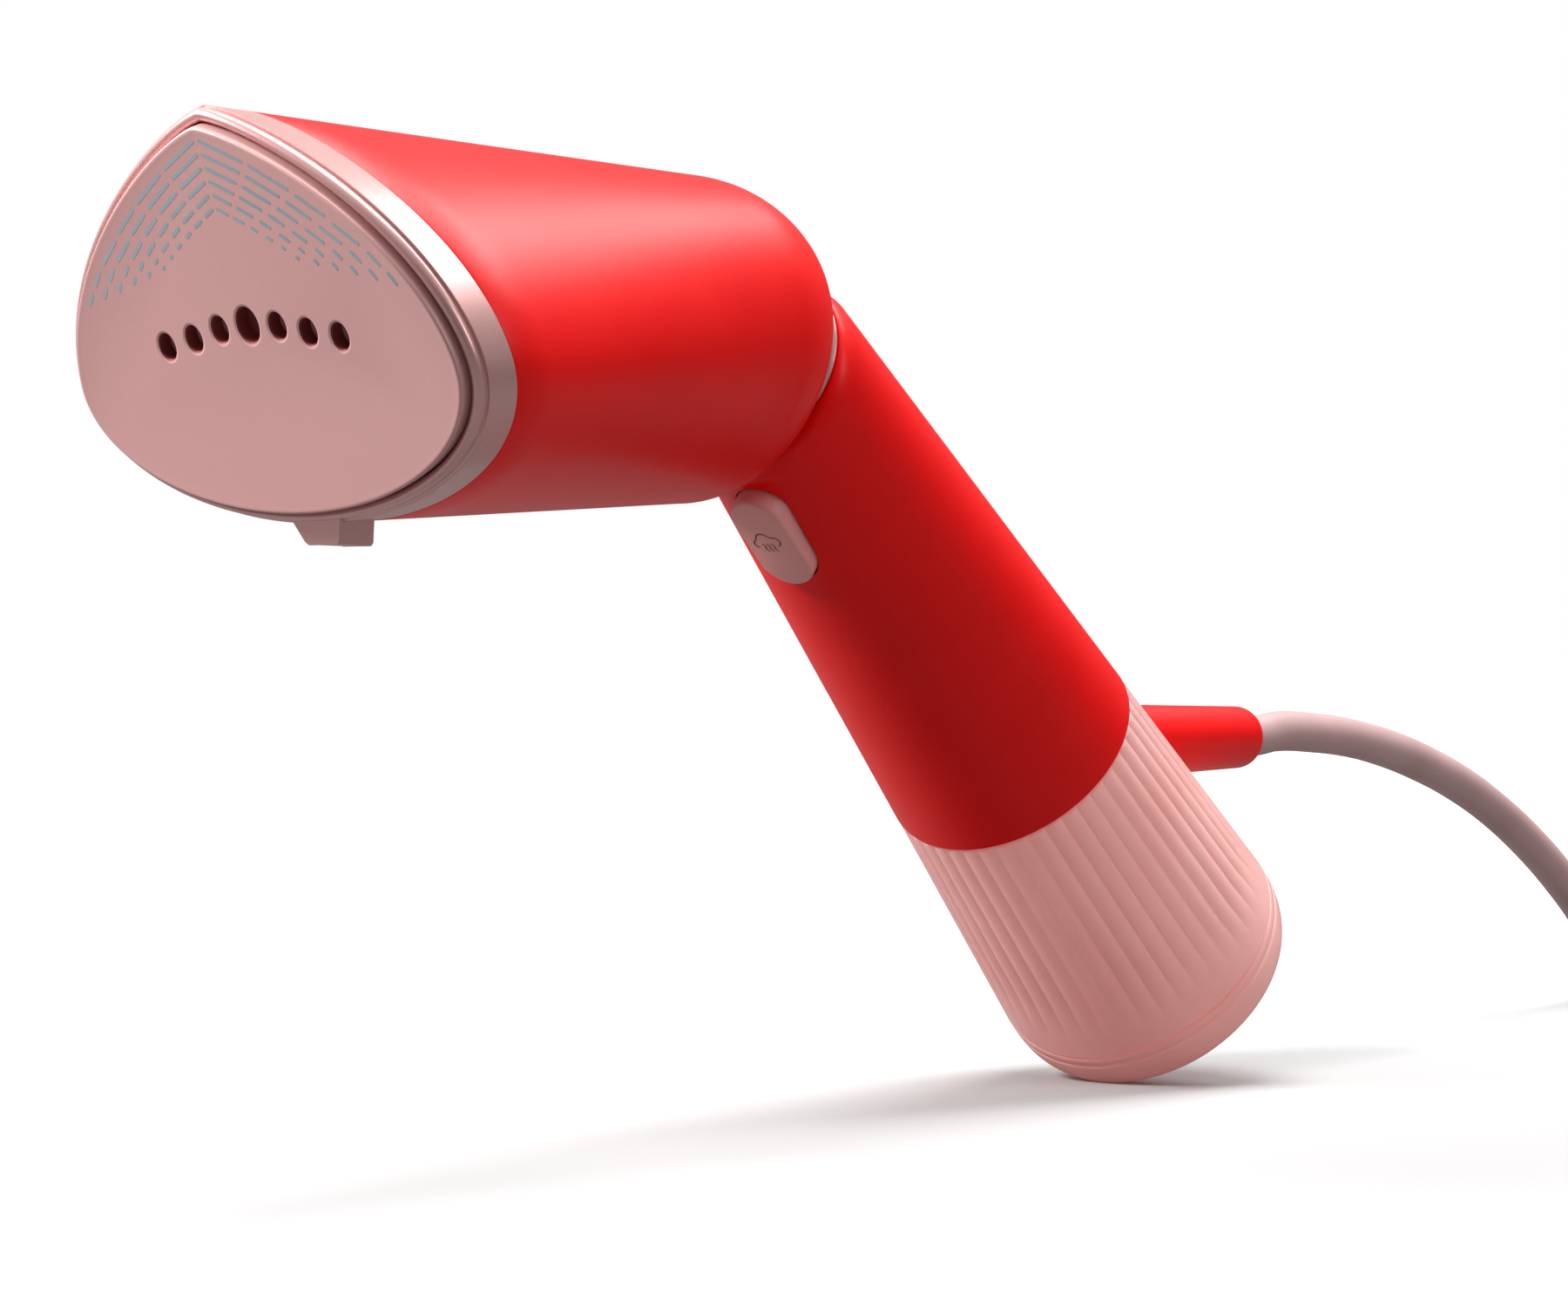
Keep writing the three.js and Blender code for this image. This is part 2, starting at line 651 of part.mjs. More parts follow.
function pumpCoil() {
  const half = 9.5;
  const body = block([-half, half], [PUMP_AXIS - half, PUMP_AXIS + half], [-66, -44]);
  return cut(body, shifted(rod(5.5, -70, -40, 24), 0, PUMP_AXIS, 0));
}

function pumpPlunger() {
  return shifted(turned([[0.9, -60], [3.7, -60], [3.7, -44], [0.9, -44]], 20), 0, PUMP_AXIS, 0);
}

function pumpSpring() {
  return shifted(helix(3.1, 0.45, -71.7, -60.3, 4), 0, PUMP_AXIS, 0);
}

function outletHose() {
  const inSwivel = (offset) => new THREE.Vector3(0, 0, offset).applyMatrix4(SWIVEL_IN_HANDLE).toArray();
  return along([
    inSwivel(-0.8), inSwivel(-7), inSwivel(-11),
    [0, PUMP_AXIS, -17], [0, PUMP_AXIS, -27], [0, PUMP_AXIS, -36.5],
  ], 3.2, 2.3, 10, 8);
}

function suctionHose() {
  return shifted(sleeve(2.1, 3, -90.6, -79), 0, PUMP_AXIS, 0);
}

function handleLead(side) {
  const inSwivel = (offset) => (
    new THREE.Vector3(side * 4.9, 0, offset).applyMatrix4(SWIVEL_IN_HANDLE).toArray()
  );
  return along([
    inSwivel(-0.8), inSwivel(-8), [side * 5, 4.6, -18], [side * 8.5, 1, -30], [side * 10.5, -6, -36],
    [side * 8, -12, -39.2],
  ], 0.9, 0, 16, 8);
}

// ---------------------------------------------------------------- handle: foot
function bulkhead() {
  const disc = overlap(coneSolid(WALL + GAP, 91, 93.5), block([-40, 40], [-40, 40], [-93.5, -91]));
  const upper = shifted(rod(1.8, -92, -86.5, 16), 0, PUMP_AXIS, 0);
  const socket = shifted(rod(6.9, -101, -92, 28), 0, PUMP_AXIS, 0);
  const seat = shifted(rod(4.9, -103, -95.4, 28), 0, PUMP_AXIS, 0);
  const way = shifted(rod(1, -97, -80, 14), 0, PUMP_AXIS, 0);
  const cordWay = block([-6, 6], [12, 40], [-95, -90]);
  return cut(join(disc, upper, socket), seat, way, cordWay);
}

function innerCord() {
  const up = (k) => new THREE.Vector3(0, 0, -k).applyMatrix4(RELIEF_FRAME).toArray();
  return along([
    up(-RELIEF.length + 1), up(-20), up(3), [0, 21.2, -129.5], [0, 19.6, -120], [0, 19.4, -112],
    [0, 18.9, -104], [0, 18.6, -99], [0, 17.2, -92], [0, 16.4, -85.5],
  ], CORD_RADIUS, 0, 20, 10);
}

function cordClamp() {
  const body = overlap(coneSolid(WALL + GAP, 80, 95), block([-9.4, 9.4], [10.5, 30], [-90.6, -86]));
  const bore = block([-4.7, 4.7], [9, 21.6], [-95, -80]);
  const screws = [-7, 7].map((x) => shifted(rod(1.4, -16, -6, 12).rotateX(Math.PI / 2), x, 0, -88.3));
  return cut(body, bore, ...screws);
}

function clampBolt(side) {
  const bolt = turned([[0, -15.6], [1.1, -15.6], [1.1, -10.2], [2.2, -10.2], [2.2, -8.8], [0, -8.8]], 14);
  return shifted(bolt.rotateX(Math.PI / 2), side * 7, 0, -88.3);
}

function terminalBlock() {
  const body = block([-9, 9], [11.2, 17.6], [-84, -73]);
  const mouths = [-5, 5].map((x) => block([x - 2, x + 2], [13, 16], [-85, -79]));
  return cut(body, ...mouths);
}

// ---------------------------------------------------------------- tank
const FLUTES = { count: 44, depth: 0.4, fadeStart: 154, fadeEnd: 163 };

function flutedRing(down, radius, depth) {
  const count = FLUTES.count * 2;
  return Array.from({ length: count }, (_, k) => {
    const angle = (k / count) * Math.PI * 2;
    const r = radius - (k % 2 ? depth : 0);
    return new THREE.Vector3(r * Math.cos(angle), r * Math.sin(angle), -down);
  });
}

function tankSkin() {
  const { depth, fadeStart, fadeEnd } = FLUTES;
  const skin = (down) => coneRadius(down) - 0.1;
  return loft([
    flutedRing(TANK_TOP, TANK_NECK, 0), flutedRing(SHELL_END - 0.1, TANK_NECK, 0),
    flutedRing(SHELL_END + GAP, skin(SHELL_END), depth), flutedRing(fadeStart, skin(fadeStart), depth),
    flutedRing(fadeEnd, skin(fadeEnd), 0), flutedRing(TANK_SEAM - GAP, skin(TANK_SEAM), 0),
  ]);
}

function tankRoom() {
  const neck = TANK_NECK - TANK_WALL;
  return cut(turned([
    [0, -TANK_TOP + 1], [neck, -TANK_TOP + 1], [neck, -SHELL_END - 2],
    [coneRadius(TANK_SEAM) - TANK_WALL - 0.2, -TANK_SEAM - 1], [0, -TANK_SEAM - 1],
  ], RADIAL), notch(TANK_WALL));
}

function notch(grow) {
  const w = SPINE_HALF_WIDTH + 0.4 + grow;
  return block([-w, w], [SPINE_FRONT - 0.4 - grow, 60], [-SPINE_END - 0.5 - grow, -90]);
}

function tankBody() {
  return cut(tankSkin(), notch(0), tankRoom());
}

function tankBase() {
  const r = TANK_BASE_RADIUS;
  const corner = { across: 5.85, along: TANK_BOTTOM - TANK_SEAM };
  const steps = 5;
  const sweep = (inset, k) => {
    const angle = (k / steps) * (Math.PI / 2);
    return [
      r - inset - corner.across * (1 - Math.cos(angle)),
      -TANK_SEAM - (corner.along - inset) * Math.sin(angle),
    ];
  };
  const outer = Array.from({ length: steps }, (_, k) => sweep(0, k + 1));
  const inner = Array.from({ length: steps + 1 }, (_, k) => sweep(TANK_WALL, k)).reverse();
  return turned([
    [0, -TANK_BOTTOM], ...outer.reverse(), [r, -TANK_SEAM - 2.6], [r - 0.45, -TANK_SEAM - 2.3],
    [r, -TANK_SEAM - 2], [r, -TANK_SEAM], ...inner.reverse(), [0, -TANK_BOTTOM + TANK_WALL],
  ], 44);
}

function tankDeck() {
  const radius = TANK_NECK - TANK_WALL - GAP;
  const plate = cut(rod(radius, -103.3, -101.3, 48), notch(TANK_WALL + GAP));
  const nipple = shifted(rod(4.6, -102, -95.8, 28), 0, PUMP_AXIS, 0);
  const spigot = shifted(rod(2, -109, -102, 18), 0, PUMP_AXIS, 0);
  const groove = shifted(sleeve(3.8, 6, -99.6, -98.2), 0, PUMP_AXIS, 0);
  const way = shifted(rod(1.2, -112, -90, 16), 0, PUMP_AXIS, 0);
  const fill = shifted(rod(4.5, -106, -98, 24), 0, FILL_Y, 0);
  return cut(join(plate, nipple, spigot), groove, way, fill);
}

function sealRing() {
  const sides = 8;
  const section = Array.from({ length: sides }, (_, k) => {
    const angle = (k / sides) * Math.PI * 2;
    return [4.35 + 0.5 * Math.cos(angle), -98.9 + 0.5 * Math.sin(angle)];
  });
  return shifted(turned(section, 20), 0, PUMP_AXIS, 0);
}

function fillStopper() {
  const profile = [[0, -105], [4.1, -105], [4.2, -101], [6.5, -101], [6.5, -99.9], [5.8, -99.4], [0, -99.4]];
  return shifted(turned(profile, 24), 0, FILL_Y, 0);
}

function suctionTube() {
  return along([
    [0, PUMP_AXIS, -104], [0, PUMP_AXIS, -112], [0, 3.5, -130], [0, -1, -150], [0, -4, -164], [0, -4.3, -170],
  ], 3.1, 2.3, 9, 8);
}

function suctionFilter() {
  const body = sleeve(3.4, 5.2, -175, -167);
  return shifted(body, 0, -4.3, 0);
}

// ---------------------------------------------------------------- cord, coil and plug
const exitPoint = new THREE.Vector3(0, 0, RELIEF.length).applyMatrix4(RELIEF_FRAME).applyMatrix4(HANDLE);
const FLOOR_CORD = FLOOR + CORD_RADIUS;

function cordLead() {
  return along([
    [0, exitPoint.y + GAP, exitPoint.z], [0, 136, -28.3], [0, 151.5, -28.8], [0, 167.7, -30.2],
    [0, 184.4, -32.8], [0, 201.5, -36.6], [0, 219.2, -41.7], [0, 237, -48.4], [0, 256, -57.4],
    [-1, 275, -67.4], [-4, 294, -77], [-9.4, 312, -85.4], [-16.4, 329, -91.2], [-21.6, 341, FLOOR_CORD + 0.2],
  ], CORD_RADIUS, 0, 34, 10);
}

function cordCoil() {
  const { inner, outer, height, lift } = COIL;
  const ring = turned([
    [inner, 2], [inner + 2, 0], [outer - 2, 0], [outer, 2],
    [outer, 6.5], [outer - 4, height], [inner + 4, height], [inner, 6.5],
  ], 48);
  return shifted(ring, COIL_CENTRE.x, COIL_CENTRE.y, FLOOR + lift);
}

const PLUG = { x: COIL_CENTRE.x + 35, start: COIL_CENTRE.y + 5, rise: FLOOR + COIL.lift + COIL.height + 9.4 };

// The free end climbs on to the coil, runs over its far side and turns back into the plug.
function cordTail() {
  const radius = 49.7;
  const bend = 35;
  const top = FLOOR + COIL.lift + COIL.height + CORD_RADIUS + GAP;
  const onCoil = [150, 130, 110, 90].map((degrees) => (
    tailPoint(radius, 0, degrees, top + (150 - degrees) / 30)
  ));
  const turning = [65, 40, 15].map((degrees) => (
    tailPoint(bend, radius - bend, degrees, top + 2 + ((90 - degrees) / 75) * (PLUG.rise - top - 2))
  ));
  const straight = [4, GAP].map((before) => [PLUG.x, PLUG.start + before, PLUG.rise]);
  return along([...onCoil, ...turning, ...straight], CORD_RADIUS, 0, 20, 10);
}

function tailPoint(radius, beyond, degrees, rise) {
  const angle = rad(degrees);
  return [COIL_CENTRE.x + radius * Math.cos(angle), COIL_CENTRE.y + beyond + radius * Math.sin(angle), rise];
}

function plugFrame() {
  return frame(90, PLUG.start, PLUG.rise).premultiply(new THREE.Matrix4().makeTranslation(PLUG.x, 0, 0));
}

function plugBody() {
  const relief = turned([[0, 0], [5.2, 0], [5.4, 1], [6.6, 18], [6.6, 20], [0, 20]], 20);
  const shape = new THREE.Shape();
  shape.absarc(5, 0, 8, -Math.PI / 2, Math.PI / 2, false);
  shape.absarc(-5, 0, 8, Math.PI / 2, Math.PI * 1.5, false);
  const head = slab(shape, 19, 47, 6);
  const slots = [-6.35, 6.35].map((x) => block([x - 1, x + 1], [-3.5, 3.5], [39, 60]));
  return cut(join(relief, head), ...slots);
}

function plugBlade(side) {
  const x = side * 6.35;
  return block([x - 0.75, x + 0.75], [-3.2, 3.2], [39.4, 63]);
}

function cordTie() {
  const { inner, outer, height, lift } = COIL;
  const thick = 1;
  const halfWidth = 6;
  const bottom = FLOOR + lift;
  const room = { near: inner - 1, far: outer + GAP, low: bottom - GAP, high: bottom + height + GAP };
  const outside = block(
    [room.near - thick, room.far + thick], [-halfWidth, halfWidth], [room.low - thick, room.high + thick],
  );
  const inside = block([room.near, room.far], [-halfWidth - 1, halfWidth + 1], [room.low, room.high]);
  return cut(outside, inside).rotateZ(Math.PI).translate(COIL_CENTRE.x, COIL_CENTRE.y, 0);
}

// ---------------------------------------------------------------- assembly
function addHead() {
  add('head_shell', headShell(), 'shell', HEAD);
  add('front_bezel', frontBezel(), 'bezel', HEAD);
  add('chamber_carrier', chamberCarrier(), 'plastic', HEAD);
  add('soleplate', soleplate(), 'enamel', PLATE);
  add('plate_gasket', plateGasket(), 'gasket', PLATE);
  add('steam_chamber', steamChamber(), 'casting', PLATE);
  add('heating_element', heatingElement(), 'steel', PLATE);
  add('element_clamp', elementClamp(), 'steel', PLATE);
  CLAMP_SCREWS.forEach(([x, y], k) => {
    add(`clamp_screw_${k + 1}`, shifted(clampScrew(), x, y, 0), 'steel', PLATE);
  });
  add('inlet_nozzle', inletNozzle(), 'brass', PLATE);
  add('thermostat', thermostat(), 'plastic', PLATE);
  add('thermal_fuse', thermalFuse(), 'brass', PLATE);
  add('steam_hose', steamHose(), 'silicone', HEAD);
  add('head_lead_left', headLead(-1), 'lead', HEAD);
  add('head_lead_right', headLead(1), 'lead', HEAD);
}

function addSwivel() {
  add('swivel_ring', swivelRing(), 'bezel', SWIVEL);
  add('swivel_shaft', swivelShaft(), 'plastic', SWIVEL);
  add('retainer_clip', retainerClip(), 'steel', SWIVEL);
  add('stop_pin', stopPin(), 'steel', SWIVEL);
  add('wave_washer', waveWasher(), 'steel', SWIVEL);
  add('swivel_bearing', swivelBearing(), 'plastic', SWIVEL);
}

function addHandle() {
  add('handle_shell', handleShell(), 'shell', HANDLE);
  add('steam_button', steamButton(), 'button', HANDLE);
  add('button_spring', buttonSpring(), 'steel', HANDLE);
  add('switch_carrier', switchCarrier(), 'plastic', HANDLE);
  add('micro_switch', microSwitch(), 'plastic', HANDLE);
  add('switch_plunger', switchPlunger(), 'gasket', HANDLE);
  add('control_board', controlBoard(), 'board', HANDLE);
  add('pump_body', pumpBody(), 'plastic', HANDLE);
  add('pump_coil', pumpCoil(), 'copper', HANDLE);
  add('pump_plunger', pumpPlunger(), 'steel', HANDLE);
  add('pump_spring', pumpSpring(), 'steel', HANDLE);
  add('outlet_hose', outletHose(), 'silicone', HANDLE);
  add('suction_hose', suctionHose(), 'silicone', HANDLE);
  add('handle_lead_left', handleLead(-1), 'lead', HANDLE);
  add('handle_lead_right', handleLead(1), 'lead', HANDLE);
  add('bulkhead', bulkhead(), 'plastic', HANDLE);
  add('cord_clamp', cordClamp(), 'plastic', HANDLE);
  add('clamp_bolt_left', clampBolt(-1), 'steel', HANDLE);
  add('clamp_bolt_right', clampBolt(1), 'steel', HANDLE);
  add('terminal_block', terminalBlock(), 'lead', HANDLE);
  add('strain_relief', strainRelief(), 'shell', HANDLE);
  add('inner_cord', innerCord(), 'cord', HANDLE);
}

function addTank() {
  add('tank_body', tankBody(), 'tank', HANDLE);
  add('tank_base', tankBase(), 'tank', HANDLE);
  add('tank_deck', tankDeck(), 'tank', HANDLE);
  add('seal_ring', sealRing(), 'gasket', HANDLE);
  add('fill_stopper', fillStopper(), 'silicone', HANDLE);
  add('suction_tube', suctionTube(), 'silicone', HANDLE);
  add('suction_filter', suctionFilter(), 'steel', HANDLE);
}

function addCord() {
  add('power_cord', cordLead(), 'cord', ROW);
  add('cord_coil', cordCoil(), 'cord', ROW);
  add('cord_tail', cordTail(), 'cord', ROW);
  add('cord_tie', cordTie(), 'gasket', ROW);
  add('plug_body', plugBody(), 'cord', plugFrame());
  add('plug_blade_left', plugBlade(-1), 'brass', plugFrame());
  add('plug_blade_right', plugBlade(1), 'brass', plugFrame());
}

addHead();
addSwivel();
addHandle();
addTank();
addCord();

export default group;
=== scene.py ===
# Handheld garment steamer: the visible skins, materials, cord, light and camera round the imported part.
import math

import bmesh
import bpy
from mathutils import Matrix, Vector


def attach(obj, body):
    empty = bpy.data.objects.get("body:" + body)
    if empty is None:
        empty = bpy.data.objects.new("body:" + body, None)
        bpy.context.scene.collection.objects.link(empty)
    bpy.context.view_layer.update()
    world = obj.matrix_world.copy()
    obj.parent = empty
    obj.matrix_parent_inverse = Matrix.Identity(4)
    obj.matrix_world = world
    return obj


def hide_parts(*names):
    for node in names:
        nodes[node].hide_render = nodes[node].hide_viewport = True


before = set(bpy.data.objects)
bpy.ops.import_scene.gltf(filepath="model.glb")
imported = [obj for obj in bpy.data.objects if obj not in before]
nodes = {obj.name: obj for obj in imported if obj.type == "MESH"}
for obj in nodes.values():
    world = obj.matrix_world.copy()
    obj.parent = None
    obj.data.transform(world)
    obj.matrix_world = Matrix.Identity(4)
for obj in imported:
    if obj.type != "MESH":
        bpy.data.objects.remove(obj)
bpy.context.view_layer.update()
rad = math.radians

# ---------------------------------------------------------------- driving dimensions
# Millimetres and degrees, unless a line says otherwise. "Down" is down the handle from the swivel centre.
MM = 0.001                      # metres in a millimetre
GAP = 0.3                       # clearance between neighbouring pieces
HANDLE_TILT = 48.45             # between the handle and the vertical
HEAD_TILT = 90                  # the head lies level
SWIVEL_TILT = (HANDLE_TILT + HEAD_TILT) / 2
PLATE_LEAN = 22.2               # the soleplate faces this far below the head's own axis
GRIP_DROP = 62                  # from the swivel centre down the handle to the grip

CONE_TOP_RADIUS = 18.2          # handle radius at the swivel centre
CONE_GROWTH = 0.0726            # added radius for each millimetre down
SWIVEL_RADIUS = 17              # of the ring between head and handle
COLLAR_DROP = 4.5               # the handle's top edge rounds over this far
COLLAR_BORE = 14.8
WALL = 2.2                      # wall of the handle and head shells
SHELL_END = 107                 # lower edge of the handle shell
BUTTON_DOWN = 23.6              # middle of the button
BUTTON_WIDTH = 11
BUTTON_LENGTH = 22
BUTTON_FACE = 22.3              # in front of the handle's axis
ICON = {"half_line": 0.16, "x": -0.4, "rise": 0.5, "lift": 0.03}

PLATE_FORWARD = 131.63          # soleplate centre in front of the swivel centre
PLATE_RISE = -0.7
HEAD_RUN = 105                  # nominal length from the bezel's front edge to the dome
HEAD_END_FORWARD = 24           # where the straight part of the head meets the dome
HEAD_CENTRE_RISE = 3.4
FACE = {"half": 43.4, "top": 44.5, "bottom": 24.6, "centre": -9.5, "depth": 3}
REAR = {"half": 27.3, "top": 29, "bottom": 29}
PEAK = {"side": 1.575, "rise": 1.11, "inset": 1.1}      # powers and inset share that shape the drop's top
DOME_RING = {"radius": 14.5, "offset": 4.5}
DOME_BORE = {"radius": 10.4, "offset": 6.9}
BEZEL_DEPTH = 9
HEAD_SEAM = BEZEL_DEPTH + GAP
LUG_OUTLINE = [(-5.4, -33), (-3.7, -37.2), (-3.0, -37.8), (3.0, -37.8), (3.7, -37.2), (5.4, -33)]

HOLE_DEPTH = 2.9
HOLE_SHADE_FROM = 0.32                # walls deeper than this are painted dark, as painted shade
# The steam holes' x, y, half width and half height
STEAM_HOLES = [(0, 0, 2.2, 2.95)] + [
    (side * x, y, 1.65, 2.2) for x, y in ((6.23, -0.43), (12.37, -1.7), (18.69, -2.73)) for side in (-1, 1)
]

# Ends of the right-hand printed dashes of the outermost and the innermost row, from the peak outwards
OUTER_DASHES = [
    ((0.62, 29.8), (8.3, 25.95)), ((9.7, 25.15), (16.2, 21.0)), ((17.6, 19.9), (22.1, 16.5)),
    ((23.6, 15.0), (27.5, 11.65)), ((29.1, 10.1), (30.7, 8.15)), ((32.0, 6.7), (33.1, 5.0)),
]
INNER_DASHES = [
    ((0.62, 18.85), (2.3, 17.9)), ((3.65, 17.2), (5.1, 16.4)), ((6.7, 15.45), (7.5, 14.9)),
    ((9.4, 13.75), (10.1, 13.3)), ((12.0, 12.0), (12.3, 11.8)), ((14.4, 10.3), (14.55, 10.1)),
]
DASH_ROWS = 6
DASH_HALF = 0.3                 # half the width of a dash
PLATE_SINK = 0.18               # depth of the plate's flat face behind its rounded edge
PRINT_LIFT = 0.025              # of the print in front of the flat face

TANK_WALL = 2
TANK_TOP = 101
TANK_NECK = 22.9                # radius of the neck that slips into the handle shell
SPINE_END = 156                 # lower end of the cord spine behind the tank
SPINE_HALF = 13
SPINE_FRONT = 12.5
NOTCH_GAP = 0.4                 # between the spine and the tank
TANK_SEAM = 168
TANK_BOTTOM = 180.6
TANK_BASE_RADIUS = 30.3
FOOT_RIM = 3.2                  # straight part of the foot below the seam
FOOT_ACROSS = 5.85              # how far the foot's curve draws in
FLUTES = {"count": 44, "steps": 12, "depth": 0.5, "power": 0.7, "fade_start": 152, "fade_end": 164}
FLUTED_STEPS = FLUTES["count"] * FLUTES["steps"]
RELIEF = {"down": 137.9, "root": -12, "taper": 6, "length": 46.7, "base": 7.4, "tip": 6.6, "round": 3}

CORD_RADIUS = 4.35
CORD_GAP = 0.3                  # under and between the layers of cord
FLOOR = -98.1
COIL_CENTRE = (31.2, 383.6)
COIL_HEIGHT = 18.1              # of the ring that stands for the coil in the CAD
COIL_TOP = FLOOR + COIL_HEIGHT
COIL_RADIUS = 58.6              # of the outer turn on the floor
PITCH = 8.8                     # between neighbouring turns
LAYER = 7.6                     # rise of a turn lying in the groove of the layer below
TURNS = 5
PLUG = (COIL_CENTRE[0] + 35, COIL_CENTRE[1] + 5, COIL_TOP + 9.4)     # where the cord enters the plug
TIE = {"lift": 1.3, "share": 0.05}                      # the turns ride over the tie's strap
TAIL = {"radius": 49.7, "bend": 35, "climb": 2}         # over the coil's top and round to the plug
# Stretches of a turn, as shares of the way round from the tie, in which the cord changes its radius
STEP_IN = (0.62, 0.92)
FIRST_CLIMB = (0.36, 0.62)
STEP_OUT = (0.19, 0.43)
SECOND_CLIMB = (0, 0.2)
STEP_RISE = 1.4                 # of a turn while it crosses the one below
TOP_STEP_RISE = 2.6             # of the top turn where the one below steps out
TOP_END_RISE = 3                # of the top turn at its end

FINE = 180                      # steps round a fine skin
TURNED_STEPS = 96
SHARP = 35                      # edges that bend further than this stay sharp
WELD = 1e-6                     # metres within which vertices merge

CAMERA_PLACE = (457.58, -642.96, -8.33)
CAMERA_LOOK = (-0.60416, 0.79685, -0.00348)
CAMERA_LENS = 95.33

# Noise sizes are in cells for each metre, bump heights in metres
CLOUD_SCALE = 40
GRAIN_SCALE = 9000
FLECK_SCALE = 12000
WEAR_SCALE = 70
GRAIN_BUMP = 0.00001
POLISHED_BUMP = 0.000003
ROUGHNESS_SWING = 0.04
TONE_STOPS = (0.35, 0.65)

FLOOR_RADIUS = 6                # metres
FLOOR_DROP = 0.0001             # metres below the part
FLOOR_LIT = 0.16                # tone of the floor that light and reflections meet
FLOOR_SEEN = 0.52               # and that the camera sees
GLOW_REACH = (0.1, 0.75)        # metres over which the floor's glow sets in
SKY_LOW = 0.12
SKY_HIGH = 0.6
SKY_SPAN = (0.05, 0.95)         # share of the height over which the sky brightens
# Name, place and target in metres, width and height in metres, and power in watts
SOFT_BOXES = [
    ("top_box", (0.0, 0.15, 1.3), (0, 0, 0), (0.8, 0.8), 22),
    ("rear_box", (0.25, 1.0, 1.2), (0, -0.1, 0.03), (0.9, 0.45), 11),
    ("side_box", (1.3, 0.3, 0.6), (0, -0.1, 0), (0.5, 0.5), 4),
    ("plate_box", (-0.2, -0.36, 0.24), (-0.02, -0.17, 0.06), (0.14, 0.14), 3.0),
]


# ---------------------------------------------------------------- frames
def frame_at(tilt, y=0.0, z=0.0):
    return Matrix.Translation((0, y, z)) @ Matrix.Rotation(rad(tilt), 4, "X")


def cone_radius(down):
    """Radius of the handle and the tank this far down."""
    return CONE_TOP_RADIUS + CONE_GROWTH * down


SWIVEL_Y = -GRIP_DROP * math.sin(rad(HANDLE_TILT))
SWIVEL_Z = GRIP_DROP * math.cos(rad(HANDLE_TILT))
HANDLE = frame_at(HANDLE_TILT, SWIVEL_Y, SWIVEL_Z)
SWIVEL = frame_at(SWIVEL_TILT, SWIVEL_Y, SWIVEL_Z)
HEAD = frame_at(HEAD_TILT, SWIVEL_Y, SWIVEL_Z)
PLATE_IN_HEAD = frame_at(PLATE_LEAN, PLATE_RISE, PLATE_FORWARD)
PLATE = HEAD @ PLATE_IN_HEAD
SWIVEL_IN_HEAD = HEAD.inverted() @ SWIVEL
SWIVEL_IN_HANDLE = HANDLE.inverted() @ SWIVEL
RELIEF_IN_HANDLE = frame_at(-HEAD_TILT - HANDLE_TILT, cone_radius(RELIEF["down"]), -RELIEF["down"])
RELIEF_FRAME = HANDLE @ RELIEF_IN_HANDLE
EXIT = RELIEF_FRAME @ Vector((0, 0, RELIEF["length"]))


# ---------------------------------------------------------------- camera
def make_camera():
    data = bpy.data.cameras.new("camera")
    data.lens = CAMERA_LENS
    data.sensor_width = 36
    data.clip_start = 0.01
    camera = bpy.data.objects.new("camera", data)
    bpy.context.scene.collection.objects.link(camera)
    camera.location = Vector(CAMERA_PLACE) * MM
    camera.rotation_euler = Vector(CAMERA_LOOK).to_track_quat("-Z", "Y").to_euler()
    bpy.context.scene.camera = camera


# ---------------------------------------------------------------- cord
# From inside the strain relief, through the air and down to the start of the coil
LEAD = [
    (0, EXIT.y - 12, EXIT.z), (0, EXIT.y - 4, EXIT.z), (0, EXIT.y + 4, EXIT.z),
    (0, 136, -28.3), (0, 151.5, -28.8), (0, 167.7, -30.2), (0, 184.4, -32.8), (0, 201.5, -36.6),
    (0, 219.2, -41.7), (0, 237, -48.4), (0, 256, -57.4), (-1, 275, -67.4), (-4, 294, -77),
    (-9.4, 312, -85.4), (-16.4, 329, -91.2), (-21.6, 341, -93.2), (-25.9, 360, -93.4),
]


def ease(value, start, end):
    """Rises smoothly from 0 at the start to 1 at the end."""
    t = min(max((value - start) / (end - start), 0), 1)
    return t * t * (3 - 2 * t)


def hump(value, start, end):
    """Rises from 0 at the start to 1 half way and falls back to 0 at the end."""
    t = min(max((value - start) / (end - start), 0), 1)
    return math.sin(math.pi * t) ** 2


def coil_turn(turn, p):
    """Radius and rise of a turn at share p of the way round, clockwise from the tie."""
    inward = ease(p, *STEP_IN)
    over = STEP_RISE * hump(p, *STEP_IN)
    if turn < 2:
        return COIL_RADIUS - PITCH * (turn + inward), 0
    if turn == 2:
        climb = ease(p, *FIRST_CLIMB)
        return COIL_RADIUS - PITCH * (2 - climb / 2), LAYER * climb + over
    crossing = hump(p, *STEP_OUT)
    if turn == 3:
        outward = ease(p, *STEP_OUT)
        return COIL_RADIUS - PITCH * (1.5 - outward), LAYER + STEP_RISE * crossing + over
    climb = ease(p, *SECOND_CLIMB)
    rise = LAYER * (1 + climb) + TOP_STEP_RISE * crossing + TOP_END_RISE * inward
    return COIL_RADIUS - PITCH * (0.5 + climb / 2), rise


def around(radius, beyond, degrees, z):
    """A point on a circle whose middle lies this far beyond the middle of the coil."""
    x = COIL_CENTRE[0] + radius * math.cos(rad(degrees))
    return x, COIL_CENTRE[1] + beyond + radius * math.sin(rad(degrees)), z


